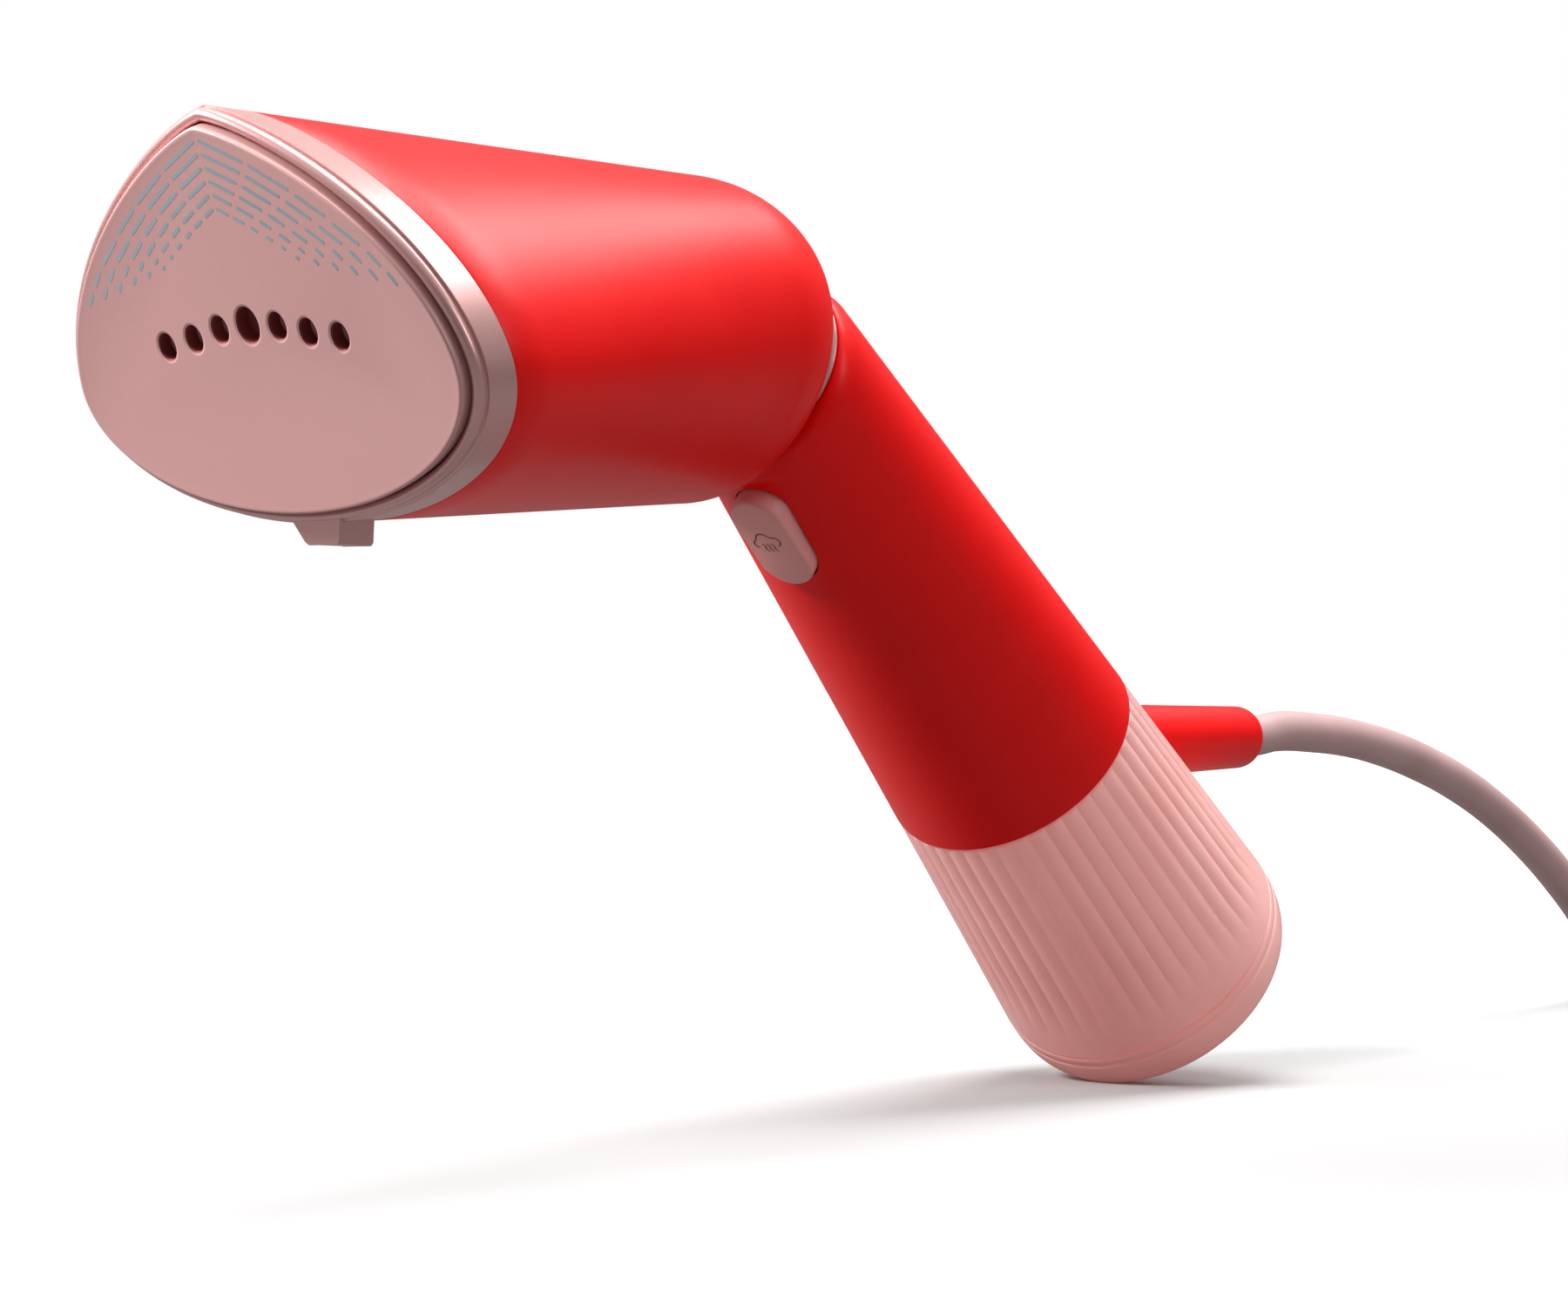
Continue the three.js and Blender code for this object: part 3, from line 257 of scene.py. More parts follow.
def coil_points():
    points = []
    per_turn = 40
    for k in range(TURNS * per_turn + 1):
        turn = min(k // per_turn, TURNS - 1)
        p = k / per_turn - turn
        radius, rise = coil_turn(turn, p)
        over_tie = TIE["lift"] * math.exp(-(min(p, 1 - p) / TIE["share"]) ** 2)
        z = FLOOR + CORD_RADIUS + CORD_GAP + rise + over_tie
        points.append(around(radius, 0, 180 - 360 * p, z))
    return points


def tail_points():
    """Over the coil's top, rising until 90 degrees, then a tighter bend that reaches the plug by 15."""
    low = COIL_TOP + CORD_RADIUS + CORD_GAP
    high = low + TAIL["climb"]
    points = []
    for degrees in (160, 140, 120, 105, 90):
        points.append(around(TAIL["radius"], 0, degrees, low + TAIL["climb"] * (150 - degrees) / 60))
    for degrees in (65, 40, 15):
        z = high + (90 - degrees) / 75 * (PLUG[2] - high)
        points.append(around(TAIL["bend"], TAIL["radius"] - TAIL["bend"], degrees, z))
    for before in (4, -4):
        points.append((PLUG[0], PLUG[1] + before, PLUG[2]))
    return points


def make_cord():
    points = LEAD + coil_points() + tail_points()
    data = bpy.data.curves.new("cord", "CURVE")
    data.dimensions = "3D"
    data.resolution_u = 4
    data.bevel_depth = 1           # scaled by each knot's radius
    data.bevel_resolution = 6
    spline = data.splines.new("BEZIER")
    spline.bezier_points.add(len(points) - 1)
    for knot, point in zip(spline.bezier_points, points):
        knot.co = Vector(point) * MM
        knot.radius = CORD_RADIUS * MM
        knot.handle_left_type = knot.handle_right_type = "AUTO"
    cord = bpy.data.objects.new("cord", data)
    bpy.context.scene.collection.objects.link(cord)
    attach(cord, "handle")
    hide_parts("power_cord", "cord_coil", "cord_tail")
    paint(cord, FINISH["cord"])


# ---------------------------------------------------------------- material helpers
def new_material(name, color, roughness, **more):
    """A plain finish. Further shader inputs are given by name, with _ for a space."""
    material = bpy.data.materials.new(name)
    material.use_nodes = True
    inputs = shader_of(material).inputs
    inputs["Base Color"].default_value = (*color, 1)
    inputs["Roughness"].default_value = roughness
    for key, value in more.items():
        inputs[key.replace("_", " ")].default_value = value
    return material


def shader_of(material):
    return material.node_tree.nodes["Principled BSDF"]


def add_node(material, kind, **values):
    """A new node. Each value sets the input of that name or, where there is none, the property."""
    node = material.node_tree.nodes.new(kind)
    for key, value in values.items():
        if key in node.inputs:
            node.inputs[key].default_value = value
        else:
            setattr(node, key, value)
    return node


def wire(material, source, target):
    material.node_tree.links.new(source, target)


def noise(material, scale, detail):
    place = add_node(material, "ShaderNodeTexCoord")
    node = add_node(material, "ShaderNodeTexNoise", Scale=scale, Detail=detail)
    wire(material, place.outputs["Object"], node.inputs["Vector"])
    return node.outputs["Fac"]


def vary_color(material, source, tones):
    ramp = add_node(material, "ShaderNodeValToRGB")
    for stop, position, tone in zip(ramp.color_ramp.elements, TONE_STOPS, tones):
        stop.position = position
        stop.color = (*tone, 1)
    wire(material, source, ramp.inputs["Fac"])
    wire(material, ramp.outputs["Color"], shader_of(material).inputs["Base Color"])


def vary_roughness(material, source, roughness):
    spread = add_node(material, "ShaderNodeMapRange")
    spread.inputs["To Min"].default_value = roughness - ROUGHNESS_SWING
    spread.inputs["To Max"].default_value = roughness + ROUGHNESS_SWING
    wire(material, source, spread.inputs["Value"])
    wire(material, spread.outputs["Result"], shader_of(material).inputs["Roughness"])


def add_bump(material, source, distance, strength):
    bump = add_node(material, "ShaderNodeBump", Strength=strength, Distance=distance)
    wire(material, source, bump.inputs["Height"])
    wire(material, bump.outputs["Normal"], shader_of(material).inputs["Normal"])


def paint(piece, material):
    piece.data.materials.clear()
    piece.data.materials.append(material)


# ---------------------------------------------------------------- materials
def middle_of(dark, light):
    return [(d + l) / 2 for d, l in zip(dark, light)]


def moulded(name, dark, light, roughness, bump=GRAIN_BUMP, **more):
    """A finish whose colour clouds softly between two tones, with a fine surface grain."""
    material = new_material(name, middle_of(dark, light), roughness, **more)
    cloud = noise(material, CLOUD_SCALE, 3)
    vary_color(material, cloud, (dark, light))
    vary_roughness(material, cloud, roughness)
    add_bump(material, noise(material, GRAIN_SCALE, 2), bump, 0.5)
    return material


def flecked(name, dark, light, roughness, metallic, **more):
    """A metallic coat whose fine flecks vary in tone."""
    material = new_material(name, middle_of(dark, light), roughness, Metallic=metallic, **more)
    fleck = noise(material, FLECK_SCALE, 2)
    vary_color(material, fleck, (dark, light))
    vary_roughness(material, noise(material, WEAR_SCALE, 4), roughness)
    add_bump(material, fleck, GRAIN_BUMP, 0.4)
    return material


def make_finishes():
    """One material for each slot of the record."""
    return {
        "shell": moulded(
            "red_soft_touch", (0.84, 0.002, 0.002), (0.90, 0.003, 0.003), 0.36, Specular_IOR_Level=0.2,
        ),
        "bezel": flecked("pink_metallic", (0.60, 0.32, 0.31), (0.68, 0.38, 0.36), 0.32, 0.55),
        "plate_coat": flecked(
            "pink_ceramic_coat", (0.56, 0.30, 0.29), (0.62, 0.34, 0.33), 0.42, 0.2, Specular_IOR_Level=0.3,
        ),
        "button": moulded(
            "pink_button", (0.76, 0.31, 0.29), (0.82, 0.35, 0.33), 0.45, Specular_IOR_Level=0.3,
        ),
        "tank": moulded(
            "translucent_pink_painted_glow", (0.96, 0.58, 0.55), (0.98, 0.64, 0.61), 0.25, POLISHED_BUMP,
            # The pink emission is a painted glow: the tank gives off light of itself in place of light
            # shining through its wall.
            Transmission_Weight=0.3, IOR=1.3, Emission_Color=(1, 0.42, 0.38, 1), Emission_Strength=0.1,
        ),
        "cord": moulded("cord_sheath", (0.50, 0.31, 0.31), (0.56, 0.36, 0.36), 0.5, Specular_IOR_Level=0.3),
        "casting": flecked("cast_aluminium", (0.50, 0.51, 0.53), (0.60, 0.61, 0.63), 0.5, 0.9),
        "steel": flecked("bright_steel", (0.52, 0.53, 0.55), (0.60, 0.61, 0.63), 0.28, 1.0),
        "brass": flecked("plain_brass", (0.62, 0.42, 0.16), (0.70, 0.48, 0.20), 0.3, 1.0),
        "winding": flecked("copper_winding", (0.48, 0.20, 0.08), (0.58, 0.26, 0.10), 0.35, 0.9),
        "silicone": moulded("milky_silicone", (0.72, 0.70, 0.66), (0.80, 0.78, 0.74), 0.45),
        "gasket": moulded("dark_rubber", (0.030, 0.012, 0.012), (0.045, 0.020, 0.020), 0.7),
        "black_plastic": moulded("black_plastic", (0.010, 0.010, 0.012), (0.018, 0.018, 0.020), 0.5),
        "board": moulded("circuit_board", (0.010, 0.080, 0.030), (0.020, 0.110, 0.045), 0.45),
        "lead": moulded("lead_insulation", (0.70, 0.69, 0.66), (0.80, 0.79, 0.76), 0.5),
    }


def print_material():
    return moulded("grey_print", (0.20, 0.25, 0.28), (0.25, 0.30, 0.33), 0.55, Specular_IOR_Level=0.2)


def icon_shade_material():
    # Painted shade: dark red standing in for the shade in the icon's engraved lines.
    return moulded("engraved_icon_painted_shade", (0.30, 0.08, 0.07), (0.34, 0.10, 0.09), 0.6)


def hole_shade_material():
    # Painted shade: a dark maroon for the deep walls of the steam holes.
    return moulded("steam_hole_painted_shade", (0.17, 0.025, 0.022), (0.21, 0.032, 0.028), 0.6)


def paint_cad_nodes():
    """Each CAD node carries the name of its slot as its material's name."""
    for node in nodes.values():
        node.material_slots[0].material = FINISH[node.data.materials[0].name]


# ---------------------------------------------------------------- mesh helpers
def mesh_object(name, shape, placement, sharp):
    """An object from the vertices and faces of a shape, given in the placement's own frame."""
    vertices, faces = shape
    mesh = bpy.data.meshes.new(name)
    mesh.from_pydata([(placement @ Vector(v)) * MM for v in vertices], [], faces)
    piece = bpy.data.objects.new(name, mesh)
    bpy.context.scene.collection.objects.link(piece)
    finish_mesh(piece, sharp)
    return piece


def finish_mesh(piece, sharp):
    """Welds, turns the faces outward and shades smooth apart from edges sharper than the angle."""
    work = bmesh.new()
    work.from_mesh(piece.data)
    bmesh.ops.remove_doubles(work, verts=work.verts, dist=WELD)
    bmesh.ops.recalc_face_normals(work, faces=work.faces)
    for face in work.faces:
        face.smooth = True
    for edge in work.edges:
        edge.smooth = edge.calc_face_angle(0) < rad(sharp)
    work.to_mesh(piece.data)
    work.free()


def make_piece(name, shape, placement, body, material, sharp=SHARP):
    piece = mesh_object(name, shape, placement, sharp)
    paint(piece, material)
    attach(piece, body)
    return piece


def make_skin(name, shape, placement, body, slot, replaced, sharp=SHARP):
    """A piece in the finish of its slot that takes the place of a CAD node."""
    piece = make_piece(name, shape, placement, body, FINISH[slot], sharp)
    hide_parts(replaced)
    return piece


def carve(piece, tool, operation="DIFFERENCE", sharp=SHARP):
    """Cuts the tool out of the piece, or adds it, and removes the tool."""
    change = piece.modifiers.new("carve", "BOOLEAN")
    change.operation = operation
    change.object = tool
    change.solver = "EXACT"
    bpy.context.view_layer.update()
    ready = piece.evaluated_get(bpy.context.evaluated_depsgraph_get())
    piece.data = bpy.data.meshes.new_from_object(ready)
    piece.modifiers.clear()
    bpy.data.objects.remove(tool)
    finish_mesh(piece, sharp)


def tool_piece(shape, placement):
    """A solid that carve uses up."""
    return mesh_object("tool", shape, placement, SHARP)


def loft(rings, closed=False):
    """Vertices and faces that skin rings of equal count. A closed loft joins its last ring to its first."""
    count = len(rings[0])
    vertices = [tuple(p) for ring in rings for p in ring]
    faces = []
    last = len(rings) if closed else len(rings) - 1
    for k in range(last):
        a, b = k * count, (k + 1) % len(rings) * count
        for i in range(count):
            j = (i + 1) % count
            faces.append((a + i, a + j, b + j, b + i))
    if not closed:
        faces.append(tuple(range(count - 1, -1, -1)))
        faces.append(tuple(last * count + i for i in range(count)))
    return vertices, faces


def flat_faces(outlines):
    """Vertices and faces with one flat face for each outline."""
    vertices, faces = [], []
    for outline in outlines:
        start = len(vertices)
        vertices += outline
        faces.append(tuple(range(start, start + len(outline))))
    return vertices, faces


def polar(radius, angle, z):
    return Vector((radius * math.cos(angle), radius * math.sin(angle), z))


def ring_of(point_at, count=FINE):
    """Points at even angles round one turn."""
    return [point_at(2 * math.pi * k / count) for k in range(count)]


def turned(profile, steps=TURNED_STEPS):
    """A turned solid about Z from its closed outline of (radius, height)."""
    return loft([ring_of(lambda angle: polar(r, angle, z), steps) for r, z in profile], closed=True)


def arc(centre, size, start, end, steps=8):
    """Points of an oval arc in degrees."""
    return [
        (centre[0] + size[0] * math.cos(rad(start + (end - start) * k / steps)),
         centre[1] + size[1] * math.sin(rad(start + (end - start) * k / steps)))
        for k in range(steps + 1)
    ]


def box_of(x, y, z):
    """A box from its (low, high) span along each axis."""
    floor_plan = [(x[0], y[0]), (x[1], y[0]), (x[1], y[1]), (x[0], y[1])]
    return loft([[Vector((a, b, level)) for a, b in floor_plan] for level in z])


# ---------------------------------------------------------------- head outline
def drop_point(angle, inset):
    """A point of the plate's drop outline: half an oval below, drawn to a soft peak above."""
    c, s = math.cos(angle), math.sin(angle)
    half = FACE["half"] - inset
    if s < 0:
        return half * c, (FACE["bottom"] - inset) * s
    x = half * math.copysign(abs(c) ** PEAK["side"], c)
    return x, (FACE["top"] - PEAK["inset"] * inset) * s ** PEAK["rise"]


def head_point(angle, inset, back):
    """A point of the head, whose outline blends from the plate's leaning drop to an upright oval."""
    x, y = drop_point(angle, inset)
    front = PLATE_IN_HEAD @ Vector((x, y + FACE["centre"], -FACE["depth"] - min(back, 0)))
    height = (REAR["top"] if math.sin(angle) > 0 else REAR["bottom"]) - inset
    across, up = (REAR["half"] - inset) * math.cos(angle), height * math.sin(angle)
    rear = Vector((across, HEAD_CENTRE_RISE + up, HEAD_END_FORWARD))
    return front.lerp(rear, max(back, 0) / HEAD_RUN)


def head_ring(inset, back):
    return ring_of(lambda angle: head_point(angle, inset, back))


def dome_rings(inset, end_ring, steps):
    """Rings that round the head off from the end of its straight part to the swivel's ring."""
    start = head_ring(inset, HEAD_RUN)
    end = ring_of(lambda angle: SWIVEL_IN_HEAD @ polar(end_ring["radius"], angle, end_ring["offset"]))
    rings = []
    for k in range(1, steps + 1):
        angle = k / steps * math.pi / 2
        inward, rearward = 1 - math.cos(angle), math.sin(angle)
        rings.append([
            Vector((p.x + (e.x - p.x) * inward, p.y + (e.y - p.y) * inward, p.z + (e.z - p.z) * rearward))
            for p, e in zip(start, end)
        ])
    return rings


def plate_ring(inset, depth):
    """The drop outline on the plate's frame. Behind the head's front edge it narrows as the head does."""
    shrink = max(depth - FACE["depth"], 0) / HEAD_RUN * (FACE["half"] - REAR["half"])

    def point(angle):
        x, y = drop_point(angle, inset + shrink)
        return Vector((x, y + FACE["centre"], -depth))
    return ring_of(point)


# ---------------------------------------------------------------- head pieces
def make_head_skin():
    edge = [head_ring(inset, HEAD_SEAM + back) for inset, back in ((0.6, 0), (0.2, 0.1), (0, 0.45))]
    straight = [head_ring(0, back) for back in (20, 40, 60, 80, 95, HEAD_RUN)]
    outer = edge + straight + dome_rings(0, DOME_RING, steps=18)
    inside = [head_ring(WALL, back) for back in (HEAD_SEAM, 50, HEAD_RUN)]
    inner = inside + dome_rings(WALL, DOME_BORE, steps=6)
    make_skin("head_skin", loft(outer + inner[::-1], closed=True), HEAD, "head", "shell", "head_shell")


def make_bezel_skin():
    """A band with a fine groove, a rounded bead round the plate, and the clip's lug below."""
    side = [
        (0, BEZEL_DEPTH), (0, 6), (0, 3), (0, 1.15), (0.12, 1.0), (0.5, 0.95), (0.62, 0.75), (0.5, 0.55),
    ]
    bead = arc((1.5, 0.1), (1.0, 1.35), 180, 360, 12)
    inside = [(2.55, 0.5), (2.6, 2.4), (6.4, 2.4), (6.4, BEZEL_DEPTH)]
    rings = [head_ring(inset, back) for inset, back in side + bead + inside]
    piece = make_skin("bezel_skin", loft(rings, closed=True), HEAD, "head", "bezel", "front_bezel")
    carve(piece, make_lug(), "UNION")


def make_lug():
    """The clip foot under the bezel, with rounded lower corners."""
    levels = [(3.1, 0), (3.6, 0.1), (10, 2.8), (10.5, 3.1)]
    rings = [[Vector((x, y - drop, -depth)) for x, y in LUG_OUTLINE] for depth, drop in levels]
    return tool_piece(loft(rings), PLATE)


def make_plate_skin():
    """The soleplate: a rounded edge, a flat face and the steam holes."""
    side = [(2.65, 3.2), (2.65, 0.75)]
    edge = arc((3.1, 0.6), (0.45, -0.55), 180, 90) + [(3.5, 0.08), (4.0, PLATE_SINK)]
    rings = [plate_ring(inset, depth) for inset, depth in side + edge]
    piece = make_skin("plate_skin", loft(rings), PLATE, "head", "plate_coat", "soleplate", sharp=30)
    for hole in STEAM_HOLES:
        carve(piece, hole_tool(*hole), sharp=30)
    paint_hole_shade(piece)


def hole_tool(x, y, half_width, half_height):
    """The room of one steam hole, with a rounded mouth. Each level gives (added size, depth)."""
    levels = [(0.55, -0.2), (0.55, 0.19), (0.2, 0.3), (0.02, 0.6), (0, HOLE_DEPTH)]

    def oval(grow, depth):
        return ring_of(lambda a: Vector((
            x + (half_width + grow) * math.cos(a), y + (half_height + grow) * math.sin(a), -depth,
        )), count=48)
    return tool_piece(loft([oval(grow, depth) for grow, depth in levels]), PLATE)


def paint_hole_shade(piece):
    """The walls of the steam holes are painted dark deep inside: painted shade where the holes lie in
    shade.
    """
    margin = 0.3
    limit = 1.05
    piece.data.materials.append(hole_shade_material())
    for face in piece.data.polygons:
        spot = PLATE.inverted() @ (face.center / MM)
        for x, y, half_width, half_height in STEAM_HOLES:
            reach = math.hypot((spot.x - x) / (half_width + margin), (spot.y - y) / (half_height + margin))
            if reach < limit and -HOLE_DEPTH < spot.z < -HOLE_SHADE_FROM:
                face.material_index = 1


def make_plate_print():
    """Six nested rows of dashes, shortening from the outer row to the inner one."""
    outlines = []
    for row in range(DASH_ROWS):
        share = row / (DASH_ROWS - 1)
        for outer, inner in zip(OUTER_DASHES, INNER_DASHES):
            ends = [Vector(o).lerp(Vector(i), share) for o, i in zip(outer, inner)]
            for side in (-1, 1):
                a, b = [Vector((side * end.x, end.y)) for end in ends]
                outlines.append([(x, y, PRINT_LIFT - PLATE_SINK) for x, y in stroke(a, b, DASH_HALF)])
    make_piece("plate_print", flat_faces(outlines), PLATE, "head", print_material())


def stroke(a, b, half):
    """Outline of a round-ended line from a to b."""
    along = (b - a).normalized()
    heading = math.degrees(math.atan2(along.y, along.x))
    far_end = arc(b, (half, half), heading - 90, heading + 90, 6)
    near_end = arc(a, (half, half), heading + 90, heading + 270, 6)
    return far_end + near_end


def make_swivel_skin():
    r, bore = SWIVEL_RADIUS, 9.3
    lip = [(bore, GAP), (r - 0.4, GAP), (r - 0.1, 0.4), (r, 0.7)]
    profile = lip + arc((r - 1.8, 1.0), (1.7, 3.2), 0, 90) + [(bore, 4.2)]
    make_skin("swivel_skin", turned(profile, steps=128), SWIVEL, "head", "bezel", "swivel_ring")


# ---------------------------------------------------------------- handle pieces
def cone_ring(down, inset=0.0):
    return ring_of(lambda angle: polar(cone_radius(down) - inset, angle, -down))


def down_at_plane(angle, below, inset):
    """How far down the inset cone meets a plane that lies this far below the swivel's own."""
    lean = rad(SWIVEL_TILT - HANDLE_TILT)
    across = math.sin(lean) * math.sin(angle)
    return (below - (CONE_TOP_RADIUS - inset) * across) / (math.cos(lean) + CONE_GROWTH * across)


def collar_rings(edge_radius, inset, steps):
    """Rings that round the handle's top over, from a circle on the swivel's plane down to the cone."""
    def low(angle):
        down = down_at_plane(angle, COLLAR_DROP, inset)
        return polar(cone_radius(down) - inset, angle, -down)

    axis = (SWIVEL_IN_HANDLE.to_3x3() @ Vector((0, 0, 1))).normalized()
    rings = []
    for k in range(steps + 1):
        turn = k / steps * math.pi / 2

        def point(angle):
            start = SWIVEL_IN_HANDLE @ polar(edge_radius, angle, 0)
            step = low(angle) - start
            down = axis * step.dot(axis)
            return start + (step - down) * math.sin(turn) + down * (1 - math.cos(turn))
        rings.append(ring_of(point))
    return rings


def make_handle_skin():
    """The handle shell with its button pocket, and the hollow spine that runs on below it."""
    downs = (30, 45, 60, 75, 90, 104, SHELL_END - 0.3)
    sides = [cone_ring(down) for down in downs] + [cone_ring(SHELL_END, 0.3)]
    outer = collar_rings(SWIVEL_RADIUS, 0, steps=12) + sides
    inside = [cone_ring(down, WALL) for down in (30, 60, 90, SHELL_END)]
    inner = collar_rings(COLLAR_BORE, WALL, steps=4) + inside
    piece = make_skin(
        "handle_skin", loft(outer + inner[::-1], closed=True), HANDLE, "handle", "shell", "handle_shell",
    )
    spine = [
        (TANK_TOP, 0.15), (SHELL_END - 0.2, 0.15), (SHELL_END + 0.2, 0),
        (SPINE_END - 1.2, 0), (SPINE_END - 0.3, 0.4), (SPINE_END, 1.2),
    ]
    hollow = [(95, WALL + 0.05), (SPINE_END - WALL, WALL + 0.05)]
    carve(piece, button_pocket())
    carve(piece, spine_solid(spine), "UNION")
    carve(piece, spine_solid(hollow))


def spine_solid(levels, steps=24):
    """The rear channel that carries the cord down behind the tank. Each level gives (down, inset)."""
    def section(down, inset):
        r = cone_radius(down) - inset
        edge = math.asin((SPINE_HALF - inset) / r)
        angles = [math.pi / 2 + edge - 2 * edge * k / steps for k in range(steps + 1)]
        front = SPINE_FRONT + inset
        corners = [Vector((side * (SPINE_HALF - inset), front, -down)) for side in (1, -1)]
        return [polar(r, angle, -down) for angle in angles] + corners
    return tool_piece(loft([section(down, inset) for down, inset in levels]), HANDLE)


def slab_rings(levels):
    """Rings of the button's capsule outline. Each level gives (inset, distance before the axis)."""
    straight = (BUTTON_LENGTH - BUTTON_WIDTH) / 2
    rings = []
    for inset, front in levels:
        r = BUTTON_WIDTH / 2 - inset
        outline = arc((0, straight), (r, r), 0, 180, 32) + arc((0, -straight), (r, r), 180, 360, 32)
        rings.append([Vector((x, -front, z - BUTTON_DOWN)) for x, z in outline])
    return rings


def button_pocket():
    return tool_piece(loft(slab_rings([(-GAP, 12), (-GAP, 30)])), HANDLE)


def make_button_skin():
    levels = [(0, 14), (0, 21.5), (0.1, 21.9), (0.35, 22.2), (0.6, BUTTON_FACE)]
    make_skin(
        "button_skin", loft(slab_rings(levels)), HANDLE, "button", "button", "steam_button", sharp=50,
    )


def make_button_icon():
    """A plain cloud outline with three strokes under it, for steam, drawn in dark strokes that are painted
    shade for the engraved lines.
    """
    cloud = (
        arc((-2.1, -0.2), (0.9, 0.9), 250, 110, 6) + arc((-0.5, 1.0), (1.35, 1.35), 160, 60, 6)
        + arc((1.9, 0.2), (1.1, 1.1), 110, -70)
    )
    wisp = [(-0.25, -0.3), (0.15, -0.9), (-0.1, -1.5), (0.3, -2.2)]
    wisps = [[(middle + x, y) for x, y in wisp] for middle in (-1.0, 0.0, 1.0)]
    front = -BUTTON_FACE - ICON["lift"]
    base = ICON["rise"] - BUTTON_DOWN
    outlines = []
    for line in [cloud] + wisps:
        for a, b in zip(line, line[1:]):
            outline = stroke(Vector(a), Vector(b), ICON["half_line"])
            outlines.append([(ICON["x"] + x, front, base + y) for x, y in outline])
    make_piece("button_icon", flat_faces(outlines), HANDLE, "button", icon_shade_material())


def make_relief_skin():
    """The strain relief: a sleeve round the cord that narrows a little towards its rounded end."""
    length, base, bore, r = RELIEF["length"], RELIEF["base"], CORD_RADIUS + 0.1, RELIEF["round"]
    root = [(0.5, RELIEF["root"]), (base, RELIEF["root"]), (base, RELIEF["taper"])]
    end = arc((RELIEF["tip"] - r, length - r), (r, r), 0, 90, 10)
    profile = root + end + [(bore, length), (bore, 0)]
    make_skin("relief_skin", turned(profile), RELIEF_FRAME, "handle", "shell", "strain_relief")


# ---------------------------------------------------------------- tank pieces
def fluted_ring(down, inset=0.1):
    """A ring of the tank wall, whose upright flutes fade out towards the foot."""
    fade = 1 - ease(down, FLUTES["fade_start"], FLUTES["fade_end"])

    def point(angle):
        groove = 1 - abs(math.sin(angle * FLUTES["count"] / 2)) ** FLUTES["power"]
        return polar(cone_radius(down) - inset - FLUTES["depth"] * groove * fade, angle, -down)
    return ring_of(point, FLUTED_STEPS)


def neck_ring(down):
    return ring_of(lambda angle: polar(TANK_NECK, angle, -down), FLUTED_STEPS)


def tank_notch(grow):
    """Room for the handle's spine behind the tank, open to the rear and at the top."""
    half = SPINE_HALF + NOTCH_GAP + grow
    front = SPINE_FRONT - NOTCH_GAP - grow
    bottom = -SPINE_END - 0.5 - grow
    rear, top = 60, -90
    return tool_piece(box_of((-half, half), (front, rear), (bottom, top)), HANDLE)


def tank_room():
    """The water's room, a wall's thickness inside the tank and open through its neck and its seam."""
    inside = TANK_NECK - TANK_WALL
    top = 1 - TANK_TOP
    below = -TANK_SEAM - 1
    profile = [
        (0.01, top), (inside, top), (inside, -SHELL_END - 2),
        (cone_radius(TANK_SEAM) - TANK_WALL - 0.5, below), (0.01, below),
    ]
    room = tool_piece(turned(profile), HANDLE)
    carve(room, tank_notch(TANK_WALL))
    return room


def make_tank_skin():
    downs = (107.6, 120, 135, 150, 153, 156, 159, 161, 163, 165, 167.4)
    neck = [neck_ring(down) for down in (TANK_TOP, SHELL_END - 0.1)]
    wall = [fluted_ring(SHELL_END + 0.2, 0.6)] + [fluted_ring(down) for down in downs]
    rings = neck + wall + [fluted_ring(TANK_SEAM - 0.2, 0.5)]
    piece = make_skin("tank_skin", loft(rings), HANDLE, "tank", "tank", "tank_body", sharp=40)
    room = tank_room()
    carve(piece, tank_notch(0))
    carve(piece, room, sharp=40)


def make_tank_foot_skin():
    """The tank's foot: a grooved rim, then a curve in to the flat bottom."""
    r, seam, bottom = TANK_BASE_RADIUS, TANK_SEAM, TANK_BOTTOM
    start = -seam - FOOT_RIM
    height = bottom - seam - FOOT_RIM

    def curve(wall, angles):
        return [
            (r - wall - FOOT_ACROSS * (1 - math.cos(rad(a))), start - (height - wall) * math.sin(rad(a)))
            for a in angles
        ]
    rim = [
        (r - 0.6, -seam), (r - 0.1, -seam - 0.2), (r, -seam - 0.5), (r, -seam - 1.8),
        (r - 0.12, -seam - 2.0), (r - 0.6, -seam - 2.3), (r - 0.12, -seam - 2.6), (r, -seam - 2.9),
    ]
    middle = [(0.5, -bottom), (0.5, TANK_WALL - bottom)]
    inside = curve(TANK_WALL, range(90, -1, -10)) + [(r - TANK_WALL, -seam)]
    foot = turned(rim + curve(0, range(0, 91, 6)) + middle + inside, steps=160)
    make_skin("tank_foot_skin", foot, HANDLE, "tank", "tank", "tank_base", sharp=40)


# ---------------------------------------------------------------- stage and light
def grey(tone):
    return tone, tone, tone


def make_floor():
    bpy.ops.mesh.primitive_circle_add(
        vertices=96, radius=FLOOR_RADIUS, fill_type="NGON", location=(0, 0, FLOOR * MM - FLOOR_DROP),
    )
    floor = bpy.context.object
    floor.name = "floor"
    paint(floor, floor_material())


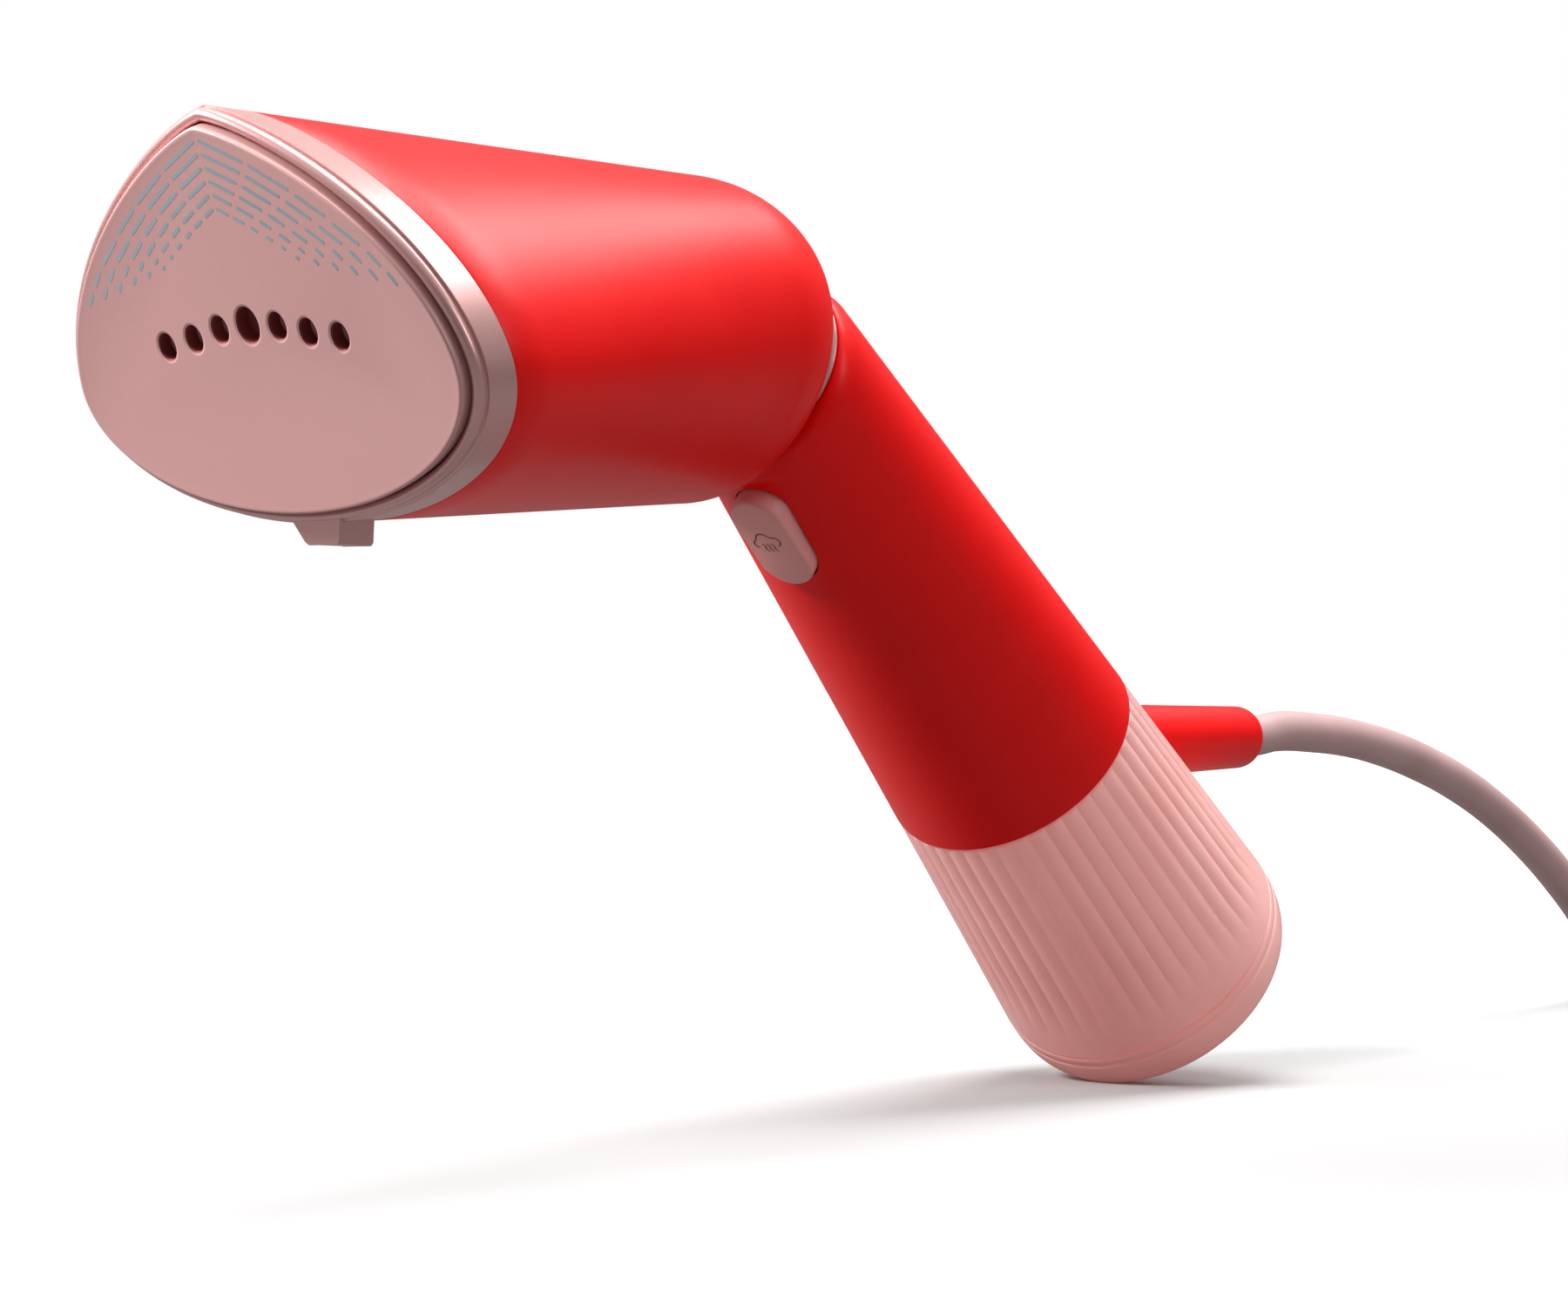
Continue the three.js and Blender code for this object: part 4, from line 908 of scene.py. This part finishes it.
def floor_material():
    """Pale. Away from the steamer it glows for the camera alone, so that the ground is white."""
    material = new_material("pale_floor", grey(FLOOR_SEEN), 1.0, Specular_IOR_Level=0)
    shader = shader_of(material)
    seen = add_node(material, "ShaderNodeLightPath").outputs["Is Camera Ray"]
    tone = add_node(material, "ShaderNodeMix", data_type="RGBA")
    factor, lit, shown = tone.inputs[0], tone.inputs[6], tone.inputs[7]     # the colour mix's own sockets
    lit.default_value = (*grey(FLOOR_LIT), 1)
    shown.default_value = (*grey(FLOOR_SEEN), 1)
    place = add_node(material, "ShaderNodeTexCoord")
    reach = add_node(material, "ShaderNodeVectorMath", operation="LENGTH")
    spread = add_node(material, "ShaderNodeMapRange", interpolation_type="SMOOTHSTEP")
    spread.inputs["From Min"].default_value, spread.inputs["From Max"].default_value = GLOW_REACH
    glow = add_node(material, "ShaderNodeMath", operation="MULTIPLY")
    wire(material, place.outputs["Object"], reach.inputs[0])
    wire(material, reach.outputs["Value"], spread.inputs["Value"])
    wire(material, spread.outputs["Result"], glow.inputs[0])
    wire(material, seen, glow.inputs[1])
    wire(material, seen, factor)
    wire(material, tone.outputs[2], shader.inputs["Base Color"])
    wire(material, glow.outputs["Value"], shader.inputs["Emission Strength"])
    shader.inputs["Emission Color"].default_value = (1, 1, 1, 1)
    return material


def make_world():
    """White to the camera; for light and reflections, dim at the horizon and bright overhead."""
    world = bpy.data.worlds.new("studio")
    bpy.context.scene.world = world
    world.use_nodes = True
    back = world.node_tree.nodes["Background"]
    place = add_node(world, "ShaderNodeTexCoord")
    split = add_node(world, "ShaderNodeSeparateXYZ")
    sky = add_node(world, "ShaderNodeMapRange", interpolation_type="SMOOTHSTEP")
    sky.inputs["From Min"].default_value, sky.inputs["From Max"].default_value = SKY_SPAN
    sky.inputs["To Min"].default_value = SKY_LOW
    sky.inputs["To Max"].default_value = SKY_HIGH
    seen = add_node(world, "ShaderNodeLightPath")
    brighter = add_node(world, "ShaderNodeMath", operation="MAXIMUM")
    wire(world, place.outputs["Generated"], split.inputs[0])
    wire(world, split.outputs["Z"], sky.inputs["Value"])
    wire(world, sky.outputs["Result"], brighter.inputs[0])
    wire(world, seen.outputs["Is Camera Ray"], brighter.inputs[1])
    wire(world, brighter.outputs["Value"], back.inputs["Strength"])
    back.inputs["Color"].default_value = (1, 1, 1, 1)


def make_lights():
    for name, place, target, size, power in SOFT_BOXES:
        data = bpy.data.lights.new(name, "AREA")
        data.shape = "RECTANGLE"
        data.size, data.size_y = size
        data.energy = power
        light = bpy.data.objects.new(name, data)
        bpy.context.scene.collection.objects.link(light)
        light.location = place
        light.rotation_euler = (Vector(target) - Vector(place)).to_track_quat("-Z", "Y").to_euler()


# ---------------------------------------------------------------- build
FINISH = make_finishes()
paint_cad_nodes()
make_camera()
make_cord()
make_head_skin()
make_bezel_skin()
make_plate_skin()
make_plate_print()
make_swivel_skin()
make_handle_skin()
make_button_skin()
make_button_icon()
make_relief_skin()
make_tank_skin()
make_tank_foot_skin()
make_floor()
make_world()
make_lights()
bpy.context.scene.view_settings.view_transform = "Standard"

bpy.context.view_layer.update()
